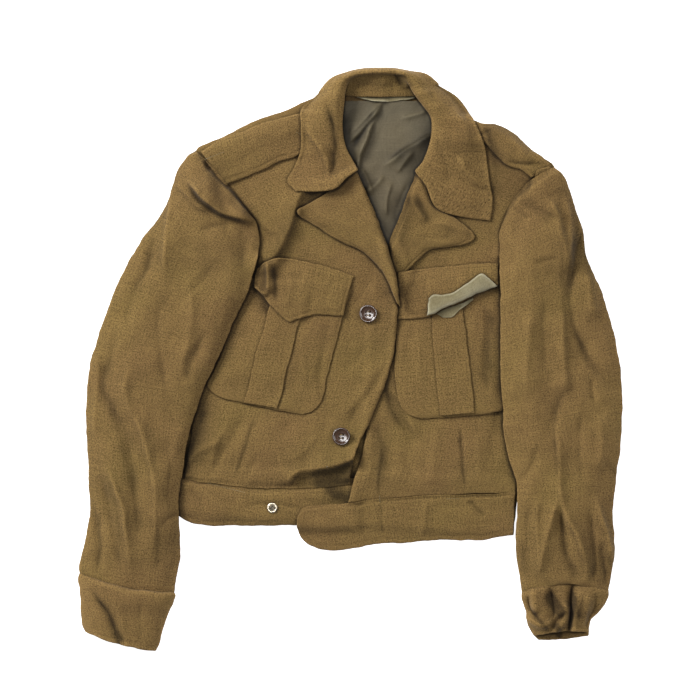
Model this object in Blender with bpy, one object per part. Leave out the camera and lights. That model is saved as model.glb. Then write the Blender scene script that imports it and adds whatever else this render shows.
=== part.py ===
"""A waist-length wool field jacket, laid on its back with its fronts crossed.

The jacket is built as it lies: every cut piece is a sheet with a real wall, and
each one is laid on the heap of those under it, in the order in which cloth lies
on cloth.  +Z is up, +Y runs towards the collar, and +X towards the wearer's left,
so "right" in a name is the wearer's right and lies at -X.

All sizes in the tables are millimetres.  The script turns them into metres.
"""

import math

import bmesh
import bpy
import numpy as np

MM = 0.001

# ---------------------------------------------------------------- driving sizes
SHELL = 2.0  # wool serge with its lining behind it
DOUBLE = 2.8  # two layers of serge: collar, lapels, waistband, cuffs
PATCH = 1.6  # one layer of serge: pockets and their pleats
FLAP = 2.2  # serge backed with cotton: flaps and shoulder straps
LINING = 1.0  # cotton sateen
SEAM_GAP = 0.35  # clear space between two pieces that touch

FRONT_BUTTON = 21.6  # diameter of a front button
BUTTON_HOLE = 2.0  # diameter of one of its four thread holes
BUTTON_HOLE_PITCH = 4.2  # between neighbouring thread holes
DRILL_TURN = 0.21  # turn of a drill's flats, so that none lies on an edge of the button
SNAP = 12.4  # diameter of the waistband's snap stud

# columns: share of the radius, height
BUTTON_PROFILE = [
    (0, 0),
    (0.62, 0),
    (0.93, 0.9),
    (1, 1.9),
    (0.96, 2.9),
    (0.86, 3.2),
    (0.76, 2.8),
    (0.62, 2.1),
    (0, 1.8),
]
SNAP_PROFILE = [
    (0, 0),
    (1, 0),
    (1, 0.8),
    (0.86, 1.5),
    (0.66, 1.5),
    (0.52, 0.9),
    (0.38, 1.0),
    (0.36, 3.0),
    (0.24, 3.3),
    (0.15, 3.0),
    (0.12, 1.4),
    (0, 1.3),
]

PLAN_CENTRE = (-0.304, 0.611)  # middle of the tables' outline, which goes to the origin

CELL = 2.0  # spacing of the plan grid that measures the heap
PLAN_HALF = 372.0  # half the side of that grid
LATTICE = 9  # samples along a quad's side when a sheet is measured
CUFF_BODY = 5.0  # how square a cuff's upper side stands at its edges
SWAY_LENGTH = 90.0  # usual length of the slow waves in a lying cloth
COLLAR_TURN = 22.0  # the leaf's turn under the back neck at its widest

# ------------------------------------------------------------------------ tables
# Sections of a sheet, from its first edge to its last.  Each row gives the two
# ends of one section, how far it bows to the left of the line between them, and
# how far the cloth stands off what it lies on.
# columns: start x, start y, end x, end y, bow, loft
BACK = [
    (-40, 317, 104, 317, 2, 0),
    (-80, 299, 146, 287, 0, 0),
    (-120, 285, 190, 272, 0, 0),
    (-150, 269, 214, 250, 0, 0),
    (-183, 248, 240, 229, 0, 0),
    (-174, 215, 230, 200, 0, 0),
    (-162, 175, 219, 165, 0, 0),
    (-164, 130, 214, 120, 0, 0),
    (-174, 80, 216, 70, 0, 0),
    (-190, 0, 213, -10, 0, 0),
    (-203, -60, 209, -70, 0, 0),
    (-211, -133.2, 202, -148, 0, 0),
]
WAISTBAND_BACK = [
    (-212, -135, -210, -176, 0, 0),
    (-120, -137, -122, -186, 0, 0),
    (0, -141, 0, -192, 0, 0),
    (120, -146, 120, -200, 0, 0),
    (202, -149, 195, -203, 0, 0),
]
LINING_BACK = [
    (-8, 311, 78, 311, 0, 0),
    (-22, 290, 112, 292, 0, 1),
    (-28, 262, 116, 264, 0, 2),
    (-24, 232, 108, 234, 0, 2),
    (-10, 200, 96, 204, 0, 2),
    (4, 168, 84, 170, 0, 1),
    (16, 138, 72, 138, 0, 0),
    (24, 112, 66, 112, 0, 0),
]
NECK_TAPE = [
    (7, 314.5, 7, 316, 0, 0),
    (24, 311, 24, 317, 0, 0),
    (42, 309.5, 42, 317, 0, 0),
    (60, 311, 60, 317, 0, 0),
    (77, 314.5, 77, 316, 0, 0),
]
FRONT_RIGHT = [
    (-176, 244, -44, 297, 0, 0),
    (-163, 228, -34, 272, 0, 3),
    (-147, 206, -20, 250, 0, 5),
    (-134, 187, -6, 236, 0, 6),
    (-122, 171, 8, 218, 0, 6),
    (-115, 158, 20, 190, 0, 5),
    (-113, 140, 32, 160, 0, 4),
    (-116, 116, 44, 124, 0, 4),
    (-128, 92, 52, 95, 0, 4),
    (-144, 64, 56, 66, 0, 4),
    (-158, 34, 54, 32, 0, 4),
    (-170, 2, 50, 2, 0, 4),
    (-179, -32, 38, -36, 0, 4),
    (-187, -68, 24, -70, 0, 5),
    (-193, -98, 11.5, -97, 0, 5),
    (-197, -120, 4, -116, 0, 3),
    (-199, -134, 0, -132, 0, 1),
    (-200, -142, -1, -148, -9, 0),
]
FRONT_LEFT = [
    (140, 286, 238, 232, 0, 0),
    (116, 266, 226, 222, 0, 3),
    (98, 246, 212, 211, 0, 4),
    (86, 226, 200, 194, 0, 4),
    (74, 206, 190, 176, 0, 4),
    (62, 180, 185, 158, 0, 4),
    (50, 154, 187, 138, 0, 4),
    (42, 126, 194, 114, 0, 3),
    (34, 90, 203, 84, 0, 3),
    (28, 50, 208, 46, 0, 3),
    (24, 10, 208, 6, 0, 3),
    (21, -30, 207, -34, 0, 3),
    (19, -70, 204, -72, 0, 3),
    (17, -98, 201, -104, 0, 3),
    (8.5, -128, 198, -134, 0, 2),
    (-3.6, -171, 197, -159.5, 3, 0),
]
WAISTBAND_RIGHT = [
    (-201, -142, -207, -185, 0, 0),
    (-188, -144, -192, -195, 0, 2),
    (-168, -147, -172, -198.5, 0, 3),
    (-140, -151, -142, -198.5, 0, 3),
    (-105, -155, -106, -199, 0, 3),
    (-70, -154, -70, -198, 0, 2),
    (-40, -151, -40, -197, 0, 0),
    (4, -150, 4, -196, 0, 0),
]
WAISTBAND_LEFT = [
    (-64, -188, -65, -201, 0, 0),
    (-59, -179, -60, -214, 0, 0),
    (-52, -175.5, -52, -221, 0, 0),
    (-40, -174, -40, -226, 0, 1),
    (-20, -173, -12, -228, 0, 1),
    (2, -171, 6, -225, 0, 1),
    (20, -168, 30, -221.5, 0, 1),
    (60, -165, 70, -219, 0, 1),
    (110, -161.5, 115, -216, 0, 1),
    (160, -161, 160, -215.5, 0, 1),
    (197, -158.5, 195, -209, 0, 0),
]
LAPEL_RIGHT = [
    (-22, 203, 6, 230, 0, 2),
    (-40, 193, 10, 220, 0, 2),
    (-56, 184, 14, 210, 0, 2),
    (-64, 179.5, 18, 202, 0, 3),
    (-63, 174, 23, 190, 0, 4),
    (-48, 164, 29, 176, 0, 5),
    (-30, 152.5, 35, 161, 0, 5),
    (-8, 140, 41, 144, 0, 5),
    (14, 129, 47, 124, 0, 4),
    (32, 113, 53, 104, 0, 3),
    (45, 92, 57, 84, 0, 2),
    (54, 70, 59, 64, 0, 1),
]
LAPEL_LEFT = [
    (80, 230, 88, 226, 0, 0),
    (74, 214, 93, 199, 0, 2),
    (69, 202, 103, 181, 0, 2),
    (65, 190, 122, 171, 0, 2),
    (61, 178, 138, 160, 0, 2),
    (57, 167, 148, 147, 0, 2),
    (52, 156, 139, 139.5, 0, 3),
    (47, 144, 116, 135, 0, 3),
    (43, 131, 94, 131, 0, 3),
    (41, 116, 80, 119, 0, 2),
    (42, 101, 67, 105, 0, 1),
    (46, 86, 57, 93, 0, 0),
]
STRAP_RIGHT = [
    (-44, 299, -46, 254, 0, 0),
    (-62, 295, -64, 245, 0, 2),
    (-84, 290, -84, 238, 0, 3),
    (-106, 284, -104, 229, 0, 3),
    (-128, 275, -122, 221, 0, 3),
    (-150, 262, -137, 215, 0, 2),
    (-174, 245, -151, 210, 0, 0),
]
STRAP_LEFT = [
    (138, 290, 136, 262, 0, 0),
    (158, 284, 160, 259, 0, 2),
    (176, 281.5, 172, 247, 0, 4),
    (191, 275, 183, 236, 0, 5),
    (204, 263, 194, 230, 0, 4),
    (216, 253, 204, 228, 0, 3),
    (230, 242, 210, 223, 0, 2),
    (241, 231, 216, 219, 0, 0),
]
POCKET_RIGHT = [
    (-127, 100, 0, 84, 0, 0),
    (-135, 72, -8, 58, 0, 1),
    (-145, 38, -15, 30, 0, 2),
    (-156, 6, -23, 2, 0, 2),
    (-167, -18, -29, -20, 0, 2),
    (-172, -29, -31, -35, 0, 1),
    (-170, -35, -34, -45, 0, 1),
    (-164, -40.5, -39, -54, 0, 1),
    (-155, -44.5, -46, -61, 0, 1),
    (-141, -48.5, -58, -65.5, -1, 0),
]
PLEAT_RIGHT = [
    (-90, 92, -51, 88, 0, 0),
    (-98, 61, -61, 50, 0, 0),
    (-108, 26, -68, 22, 0, 0),
    (-116, -2, -75, -4, 0, 0),
    (-123, -30, -82, -34, 0, 0),
    (-128, -51, -88, -58, 0, 0),
]
FLAP_RIGHT = [
    (-112, 110, -117, 88, 0, 0),
    (-102, 118, -104, 75, 0, 3),
    (-92, 122, -95, 64, 0, 3),
    (-82, 122, -83, 52, 0, 2),
    (-72, 121, -75, 46, 0, 2),
    (-58, 119, -64, 49, 0, 2),
    (-40, 114.5, -47, 54, 0, 2),
    (-20, 109, -28, 54.5, 0, 2),
    (-4, 104, -15, 53, 0, 1),
    (4, 101, -8, 53, -2, 0),
]
POCKET_LEFT = [
    (58, 98, 200, 104, 0, 0),
    (55, 60, 200, 66, 0, 1),
    (54, 24, 199, 28, 0, 1),
    (53, -12, 198, -8, 0, 1),
    (55, -38, 196, -34, 0, 1),
    (58.5, -51, 193, -46, 0, 1),
    (65, -61, 187, -55, 0, 1),
    (73, -66.5, 179, -60.5, 0, 1),
    (86, -70, 166, -64, -1, 0),
]
PLEAT_LEFT = [
    (96, 92, 133, 94, 0, 0),
    (97, 52, 134, 60, 0, 0),
    (99, 14, 139, 18, 0, 0),
    (102, -24, 144, -22, 0, 0),
    (107, -67, 148, -63.5, 0, 0),
]
FLAP_LEFT = [
    (56, 105, 56, 49.5, 0, 0),
    (74, 107, 74, 49, 0, 1),
    (90, 109, 90, 51.5, 0, 1),
    (106, 111, 106, 59, 0, 1),
    (128, 113.5, 128, 68, 0, 1),
    (150, 115.5, 150, 78, 0, 2),
    (168, 116, 168, 86, 0, 1),
    (177, 115, 177, 89.5, 0, 0),
]
FLAP_LEFT_LINING = [
    (90.5, 53.5, 93, 74, 0, 0),
    (98, 56, 98, 78, 0, 1),
    (112, 62, 112, 78.5, 0, 1),
    (126, 68, 124, 81.5, 0, 1),
    (139, 73.5, 136, 90, 0, 1),
    (151, 79, 147, 97.5, 0, 2),
    (161, 83, 157, 103, 0, 2),
    (168, 86, 164, 98.5, 0, 1),
    (175, 88.5, 172, 91.5, 0, 0),
]
FLAP_LEFT_TAB = [
    (102, 56, 104, 54.5, 0, 0),
    (112, 60, 112, 50.5, 0, 0),
    (119, 63, 119, 50.5, 0, 0),
    (130, 67, 130, 60, 0, 0),
    (146, 74, 146, 71.5, 0, 0),
]
SLEEVE_RIGHT_UNDER = [
    (-186, 247, -179, 236, 0, 0),
    (-206, 227, -172, 208, 0, 0),
    (-215, 203, -166, 178, 0, 0),
    (-229, 172, -158, 142, 0, 0),
    (-249, 144, -138, 110, 0, 0),
    (-264, 120, -128, 78, 0, 0),
    (-276, 97, -139, 54, 0, 0),
    (-289, 62, -151, 23, 0, 0),
    (-301, 30, -164, -4, 0, 0),
    (-310, -3, -176, -32, 0, 0),
    (-315, -40, -189, -68, 0, 0),
    (-316, -75, -198, -100, 0, 0),
    (-314, -110, -203, -133, 0, 0),
    (-312, -150, -208, -170, 0, 0),
    (-312, -190, -206, -200, 0, 0),
    (-319, -225, -206, -235, 0, 0),
    (-324, -248, -210, -262, 0, 0),
    (-323, -257.6, -213, -280.6, -6, 0),
]
SLEEVE_RIGHT_UPPER = [
    (-187, 251, -121, 173, 4, 2),
    (-198, 242, -116, 168, 0, 8),
    (-207, 229, -112, 160, 0, 13),
    (-213, 212, -110, 149, 0, 15),
    (-219, 193, -110, 135, 0, 16),
    (-231, 170, -113, 117, 0, 17),
    (-251, 144, -119, 96, 0, 17),
    (-266, 120, -127, 74, 0, 17),
    (-278, 97, -138, 52, 0, 17),
    (-291, 62, -150, 21, 0, 17),
    (-303, 30, -163, -5, 0, 17),
    (-312, -3, -175, -32, 0, 17),
    (-317, -40, -188, -68, 0, 17),
    (-318, -75, -197, -100, 0, 17),
    (-316, -110, -202, -133, 0, 17),
    (-314, -150, -207, -170, 0, 16),
    (-314, -190, -205, -200, 0, 15),
    (-321, -225, -205, -235, 0, 13),
    (-326, -247, -209, -261, 0, 11),
    (-325, -257.6, -212, -280.6, -6, 9),
]
SLEEVE_LEFT_UNDER = [
    (222, 227, 236, 232, 0, 0),
    (218, 205, 254, 220, 0, 0),
    (215, 178, 264, 196, 0, 0),
    (210, 142, 274, 162, 0, 0),
    (196, 110, 280, 128, 0, 0),
    (180, 74, 290, 100, 0, 0),
    (180, 40, 301, 76, 0, 0),
    (180, 5, 311, 46, 0, 0),
    (181, -30, 318, 10, 0, 0),
    (183, -65, 323, -35, 0, 0),
    (185, -95, 323, -75, 0, 0),
    (191, -122, 320, -115, 0, 0),
    (199, -150, 314, -156, 0, 0),
    (200, -180, 312, -185, 0, 0),
    (198, -205, 314, -210, 0, 0),
    (200, -240, 312, -246, 0, 0),
    (203, -261, 309, -264, 0, 0),
    (205, -281, 308, -280, 12, 0),
]
SLEEVE_LEFT_UPPER = [
    (184, 172, 243, 231, 9, 2),
    (179, 156, 256, 220, 5, 8),
    (178, 140, 262, 204, 0, 13),
    (178, 122, 268, 185, 0, 15),
    (178, 102, 277, 160, 0, 16),
    (179, 72, 283, 124, 0, 17),
    (179, 40, 298, 88, 0, 17),
    (179, 5, 311, 50, 0, 17),
    (180, -30, 320, 10, 0, 17),
    (182, -65, 325, -35, 0, 17),
    (184, -95, 325, -75, 0, 17),
    (190, -122, 322, -115, 0, 17),
    (198, -150, 316, -156, 0, 16),
    (199, -180, 314, -185, 0, 15),
    (197, -205, 316, -210, 0, 15),
    (199, -240, 314, -246, 0, 14),
    (202, -261, 311, -264, 0, 12),
    (205, -281, 308, -280, 12, 10),
]
CUFF_RIGHT = [
    (-325, -258, -212, -281, -6, 8),
    (-324, -275, -215, -291, -5, 8),
    (-323, -292, -221, -304, -3, 7),
    (-322, -308, -226, -320, -1, 7),
    (-320, -320, -231, -338, 0, 7),
    (-317, -326.5, -235, -349, -3, 7),
]
CUFF_LEFT_UNDER = [
    (205, -281.4, 308, -280.4, 12, 0),
    (207, -291, 303, -292, 8, 0),
    (211, -301, 297, -301, 4, 0),
    (212, -311, 287, -311, 1, 0),
    (216, -323, 285, -321, 0, 0),
    (226, -336, 284, -331, -1, 0),
]
CUFF_LEFT_UPPER = [
    (205, -281.4, 308, -280.4, 12, 10),
    (207, -291, 303, -292, 8, 11),
    (211, -301, 297, -300, 4, 11),
    (211.5, -309, 288, -308, 3, 10),
    (213, -316, 285, -314, 5, 9),
    (218, -324, 284, -321, 8, 7),
]

# The collar's sections, from its right front end round the back neck to its left.
# Each row gives the neck seam, the line where the collar rolls over, and the leaf's
# outer edge; how far the leaf bows to its left between the last two; how far it
# turns back under itself; and the heights of the three above what lies there.
# columns: seam x, y, roll x, y, out x, y, bow, turn, seam z, roll z, out z
COLLAR = [
    (0, 221, 6, 226, -66, 202, 9, 0, 1, 4, 0),
    (-6, 229, 3, 232, -76, 213, 6, 0, 1, 6, 0),
    (-15, 241, -2, 241, -69, 229, 2, 0, 1, 8, 0),
    (-24, 256, -9, 255, -61, 249, 0, 0, 1, 12, 0),
    (-28, 280, -13, 280, -60, 280, 0, 0, 1, 16, 0),
    (-25, 302, -11, 306, -58, 303, 0, 0, 1, 18, 0),
    (-19, 312, -9, 323, -43, 317, 0, 2, 1, 19, 2),
    (-9, 316.5, -6, 334, -26, 336, 0, 8, 1, 19, 5),
    (3, 316, 2, 340, -6, 344, 0, 14, 1, 19, 8),
    (16, 315.5, 15, 343, 12, 348, 0, 20, 1, 19, 9),
    (32, 315, 33, 344, 33, 349, 0, 22, 1, 19, 9),
    (50, 315.5, 52, 343.5, 54, 348.5, 0, 20, 1, 19, 9),
    (64, 316, 64, 341, 71, 345.5, 0, 14, 1, 19, 8),
    (77, 316, 70, 334, 91, 342.5, 0, 8, 1, 19, 5),
    (90, 312, 77, 321, 110, 328, 0, 2, 1, 19, 2),
    (103, 302, 88, 306, 129, 314, 0, 0, 1, 18, 0),
    (113, 288, 98, 291, 145, 291, 0, 0, 1, 16, 0),
    (114, 272, 99, 272, 155, 270, 0, 0, 1, 14, 0),
    (109, 252, 94, 250, 162, 246, 0, 0, 1, 12, 0),
    (103, 238, 88, 236, 166, 214, -2, 0, 1, 9, 0),
    (93, 229, 83, 230, 170, 189, -7, 0, 1, 6, 0),
    (86, 221, 79, 225, 167, 167, -17, 0, 1, 4, 0),
]

# Folds that give the cloth its main form.  Each row gives a fold's two ends, how
# far it bows to its left, its height (a valley is less than 0), and how far it
# spreads to its left and to its right.  A fold that is steep on one side is one
# where the cloth laps over itself.
# columns: from x, y, to x, y, bow, height, left spread, right spread
BODY_RIGHT_FOLDS = [
    (-124, 92, -50, 196, 2, 7, 34, 13),  # shoulder lapping over the chest
    (-86, -143, 4, -112, -4, 8, 26, 8),  # blouse lapping over the waistband
    (-172, -140, -122, -62, 4, -3, 9, 11),
    (-196, -128, -160, -96, 6, 4, 10, 10),
    (-46, -40, -22, 44, 0, -2, 10, 10),
    (-8, -66, 34, -8, 2, 2, 12, 10),
]
BODY_LEFT_FOLDS = [
    (40, -40, 76, -108, 3, -3, 9, 7),
    (163, 66, 162, -48, -3, -3, 6, 6),
    (178, -20, 172, -120, 0, -2, 12, 12),
    (24, -60, 20, -160, 0, 2, 10, 8),
]
SLEEVE_RIGHT_FOLDS = [
    (-192, 212, -112, 170, -14, 8, 26, 7),  # sleeve head lapping over the arm
    (-232, 168, -272, 44, -4, -6, 9, 9),
    (-284, 44, -298, -30, 2, -4, 9, 9),
    (-298, -30, -266, -136, 0, -5, 9, 10),
    (-303, -130, -302, -246, 3, -5, 6, 6),
    (-256, -130, -254, -250, 0, -5, 8, 8),
    (-276, -170, -284, -262, 4, -4, 7, 7),
    (-226, 30, -222, -44, 2, -3, 8, 8),
]
SLEEVE_LEFT_FOLDS = [
    (268, 130, 306, -34, 12, -6, 11, 11),
    (256, -28, 202, -152, 6, -5, 9, 9),
    (252, 46, 256, -30, 0, 3, 12, 8),
    (248, -96, 278, -246, 5, 5, 7, 7),
    (256, -196, 264, -262, 0, -5, 6, 6),
    (281, -150, 284, -266, 2, -5, 6, 6),
    (300, -190, 306, -266, 4, -4, 7, 7),
    (206, 184, 246, 168, 6, -3, 8, 8),
]
CUFF_LEFT_FOLDS = [
    (232, -318, 258, -296, 0, 4, 8, 6),  # the cuff's open end turned up
    (242, -288, 240, -312, 4, -2, 5, 6),
    (262, -276, 262, -330, -3, -2, 6, 5),
]
CUFF_RIGHT_FOLDS = [
    (-306, -284, -280, -334, -6, -1, 5, 5),
]
LAPEL_LEFT_FOLDS = [
    (78, 206, 106, 166, -3, -3, 5, 5),
    (98, 166, 142, 152, 3, 2, 8, 6),
]
COLLAR_FOLDS = [
    (-54, 284, -30, 236, -3, 3, 8, 5),
    (-22, 300, -24, 250, 3, -3, 6, 6),
    (128, 238, 160, 208, -4, 3, 9, 6),
]
LINING_FOLDS = [
    (46, 240, 98, 274, 0, 3, 9, 3),
    (-2, 268, 38, 308, 0, 2, 4, 3),
    (8, 232, 24, 284, 0, 2, 4, 3),
]
NO_FOLDS = []

# Finishes: colour, roughness, metallic value.
WOOL = ("wool serge", (0.150, 0.104, 0.044), 0.95, 0.0)
COTTON = ("pale drill", (0.300, 0.285, 0.190), 0.90, 0.0)
SATEEN = ("grey sateen", (0.098, 0.086, 0.068), 0.65, 0.0)
HORN = ("brown horn", (0.070, 0.035, 0.024), 0.30, 0.0)
NICKEL = ("nickelled brass", (0.560, 0.540, 0.500), 0.35, 1.0)


# ----------------------------------------------------------------------- shaping
def smooth_through(knots, stations, wanted):
    """Values at the wanted stations of a smooth curve through the knots' rows."""
    slopes = np.gradient(knots, stations, axis=0)
    piece = np.clip(np.searchsorted(stations, wanted, side="right") - 1, 0, len(stations) - 2)
    span = (stations[piece + 1] - stations[piece])[:, None]
    t = (wanted - stations[piece])[:, None] / span
    start, end = knots[piece], knots[piece + 1]
    leave, arrive = slopes[piece] * span, slopes[piece + 1] * span
    return (
        start * (2 * t**3 - 3 * t**2 + 1)
        + leave * (t**3 - 2 * t**2 + t)
        + end * (3 * t**2 - 2 * t**3)
        + arrive * (t**3 - t**2)
    )


def rows_between(table, count):
    """The table's sections, resampled to count of them along the sheet's longer edge."""
    knots = np.array(table, float)
    steps = np.diff(knots, axis=0)
    first_edge = np.hypot(steps[:, 0], steps[:, 1])
    second_edge = np.hypot(steps[:, 2], steps[:, 3])
    stations = np.concatenate([[0.0], np.cumsum(np.maximum(first_edge, second_edge))])
    return smooth_through(knots, stations, np.linspace(0, stations[-1], count))


def fold_height(folds, x, y):
    """Height that the folds add at plan points x, y.

    A fold follows a bowed line; across it the height falls off as a bell curve with
    its own width on each side, and along it the height fades in and out at the ends.
    """
    total = np.zeros_like(x)
    for x0, y0, x1, y1, bow, height, spread_left, spread_right in folds:
        length = math.hypot(x1 - x0, y1 - y0)
        along_x, along_y = (x1 - x0) / length, (y1 - y0) / length
        t = ((x - x0) * along_x + (y - y0) * along_y) / length
        bowed = 4 * bow * np.clip(t, 0, 1) * (1 - np.clip(t, 0, 1))
        across = (y - y0) * along_x - (x - x0) * along_y - bowed
        spread = np.where(across > 0, spread_left, spread_right)
        fade = np.clip(t * 5 + 0.5, 0, 1) * np.clip((1 - t) * 5 + 0.5, 0, 1)
        total += height * fade**2 * (3 - 2 * fade) * np.exp(-((across / spread) ** 2))
    return total


def wander(x, y, seed, size, height):
    """A slow, seeded rise and fall of the cloth, as a sum of a few crossing waves."""
    chance = np.random.default_rng(seed)
    total = np.zeros_like(x)
    for _ in range(5):
        heading, phase = chance.uniform(0, math.tau, 2)
        wave = size * chance.uniform(0.7, 1.6)
        total += np.sin((x * math.cos(heading) + y * math.sin(heading)) * math.tau / wave + phase)
    return height * total / 5


def plan_of(table, along, across, body=3.0):
    """Plan grid of a table's sheet, and how far each point stands off what is under it."""
    rows = rows_between(table, along)
    share = np.linspace(0, 1, across)
    start, end = rows[:, None, 0:2], rows[:, None, 2:4]
    chord = end - start
    square = np.stack([-chord[..., 1], chord[..., 0]], -1)
    square /= np.linalg.norm(square, axis=-1, keepdims=True)
    bulge = rows[:, 4, None] * 4 * share * (1 - share)
    plan = start + chord * share[:, None] + square * bulge[..., None]
    loft = rows[:, 5, None] * (1 - np.abs(2 * share - 1) ** body)
    return plan[..., 0], plan[..., 1], loft


class Sheet:
    """A piece of cloth: the grid of its upper face, and the thickness under that."""

    def __init__(self, x, y, z, wall):
        self.x, self.y, self.z, self.wall = x, y, z, wall

    def lattice(self):
        """Corner weights of sample points on one quad, which is split corner to corner."""
        a, b = np.meshgrid(np.linspace(0, 1, LATTICE), np.linspace(0, 1, LATTICE))
        a, b = a.ravel(), b.ravel()
        low, high = np.minimum(a, b), np.maximum(a, b)
        # corners: here, next row, next section point, both
        return np.stack([1 - high, np.where(a >= b, a - b, 0), np.where(b > a, b - a, 0), low])

    def corners(self, values):
        return np.stack([values[:-1, :-1], values[1:, :-1], values[:-1, 1:], values[1:, 1:]], -1)

    def samples(self):
        """Plan place and height of a fine lattice of points on the upper face."""
        weights = self.lattice()
        return tuple(self.corners(v) @ weights for v in (self.x, self.y, self.z))

    def settle(self, heap, gap=SEAM_GAP, most_rounds=40):
        """Raises the grid's points until no part of the sheet is in what it lies on."""
        column, row = heap.cells(*self.samples()[:2])
        floor = widened(heap.height, 1)[row, column] + gap + self.wall
        for _ in range(most_rounds):
            short = floor - self.samples()[2]
            worst = short.max(axis=-1)
            if worst.max() < 0.02:
                break
            lift = np.zeros_like(self.z)
            raised = np.clip(worst, 0, None) * 0.6
            for down in (0, 1):
                for right in (0, 1):
                    window = lift[down : down + raised.shape[0], right : right + raised.shape[1]]
                    np.maximum(window, raised, out=window)
            self.z += lift


def widened(height, steps):
    """Each cell's highest neighbour within so many steps."""
    for axis in (0, 1):
        height = np.max([np.roll(height, s, axis) for s in range(-steps, steps + 1)], axis=0)
    return height


class Heap:
    """The height of all that is laid so far, on a plan grid with cells of CELL."""

    def __init__(self):
        count = int(2 * PLAN_HALF / CELL) + 1
        self.height = np.zeros((count, count))

    def cells(self, x, y):
        last = len(self.height) - 1
        column = np.clip(np.round((x + PLAN_HALF) / CELL).astype(int), 0, last)
        row = np.clip(np.round((y + PLAN_HALF) / CELL).astype(int), 0, last)
        return column, row

    def lay(self, sheet):
        x, y, z = sheet.samples()
        column, row = self.cells(x, y)
        np.maximum.at(self.height, (row, column), z)

    def eased(self, reach):
        """The heap as a cloth bridges it: widened by reach, then softened."""
        steps = max(1, int(round(reach / CELL)))
        spread = widened(self.height, steps)
        for axis in (0, 1, 0, 1):
            spread = np.mean([np.roll(spread, s, axis) for s in range(-steps, steps + 1)], axis=0)
        return spread

    def at(self, place):
        column, row = self.cells(place[0], place[1])
        return self.height[row, column]


def drape(heap, table, along, across, wall, folds=NO_FOLDS, reach=6.0, body=3.0, sway=0.0, seed=0):
    """Lays a sheet on the heap, stood off by its loft and shaped by its folds."""
    x, y, loft = plan_of(table, along, across, body)
    shaped = loft + fold_height(folds, x, y)
    if sway:
        shaped += wander(x, y, seed, SWAY_LENGTH, sway)
    column, row = heap.cells(x, y)
    resting = heap.eased(reach)[row, column] + SEAM_GAP + wall
    sheet = Sheet(x, y, resting + np.maximum(shaped, 0), wall)
    sheet.settle(heap)
    heap.lay(sheet)
    return sheet


# ------------------------------------------------------------------------ solids
def material(node, finish):
    """The node's own material, in the cloth or stuff that it is made of."""
    name, colour, roughness, metallic = finish
    made = bpy.data.materials.new(f"{node}: {name}")
    made.use_nodes = True
    shader = made.node_tree.nodes["Principled BSDF"]
    shader.inputs["Base Color"].default_value = (*colour, 1)
    shader.inputs["Roughness"].default_value = roughness
    shader.inputs["Metallic"].default_value = metallic
    made.diffuse_color = (*colour, 1)
    return made


def new_object(name, points, faces, finish):
    """A named object with points in millimetres on the plan."""
    places = (np.asarray(points) - np.array([*PLAN_CENTRE, 0.0])) * MM
    mesh = bpy.data.meshes.new(name)
    mesh.from_pydata(places.tolist(), [], [list(map(int, face)) for face in faces])
    mesh.shade_smooth()
    mesh.set_sharp_from_angle(angle=math.radians(40))
    mesh.materials.append(material(name, finish))
    made = bpy.data.objects.new(name, mesh)
    bpy.context.scene.collection.objects.link(made)
    return made


def wall_faces(sections, across):
    """Triangles of a closed wall whose upper grid comes first and lower grid second."""
    index = np.arange(sections * across).reshape(sections, across)
    here, below = index[:-1, :-1].ravel(), index[1:, :-1].ravel()
    beside, both = index[:-1, 1:].ravel(), index[1:, 1:].ravel()
    upper = np.concatenate([np.stack([here, below, both], 1), np.stack([here, both, beside], 1)])
    lower = upper[:, ::-1] + sections * across
    rim = np.concatenate([index[:, 0], index[-1, 1:], index[-2::-1, -1], index[0, -2:0:-1]])
    following = np.roll(rim, -1)
    drop = sections * across
    side = np.concatenate(
        [np.stack([rim, rim + drop, following + drop], 1), np.stack([rim, following + drop, following], 1)]
    )
    return np.concatenate([upper, lower, side])


def add_wall(name, upper, lower, finish):
    """A closed solid between two grids of points, with its faces pointing out."""
    sections, across = upper.shape[:2]
    points = np.concatenate([upper.reshape(-1, 3), lower.reshape(-1, 3)])
    faces = wall_faces(sections, across)
    corners = points[faces]
    volume = np.einsum("ij,ij->i", corners[:, 0], np.cross(corners[:, 1], corners[:, 2])).sum()
    if volume < 0:
        faces = faces[:, ::-1]
    return new_object(name, points, faces, finish)


def add_sheet(name, sheet, finish):
    upper = np.stack([sheet.x, sheet.y, sheet.z], -1)
    lower = upper - np.array([0.0, 0.0, sheet.wall])
    return add_wall(name, upper, lower, finish)


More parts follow.
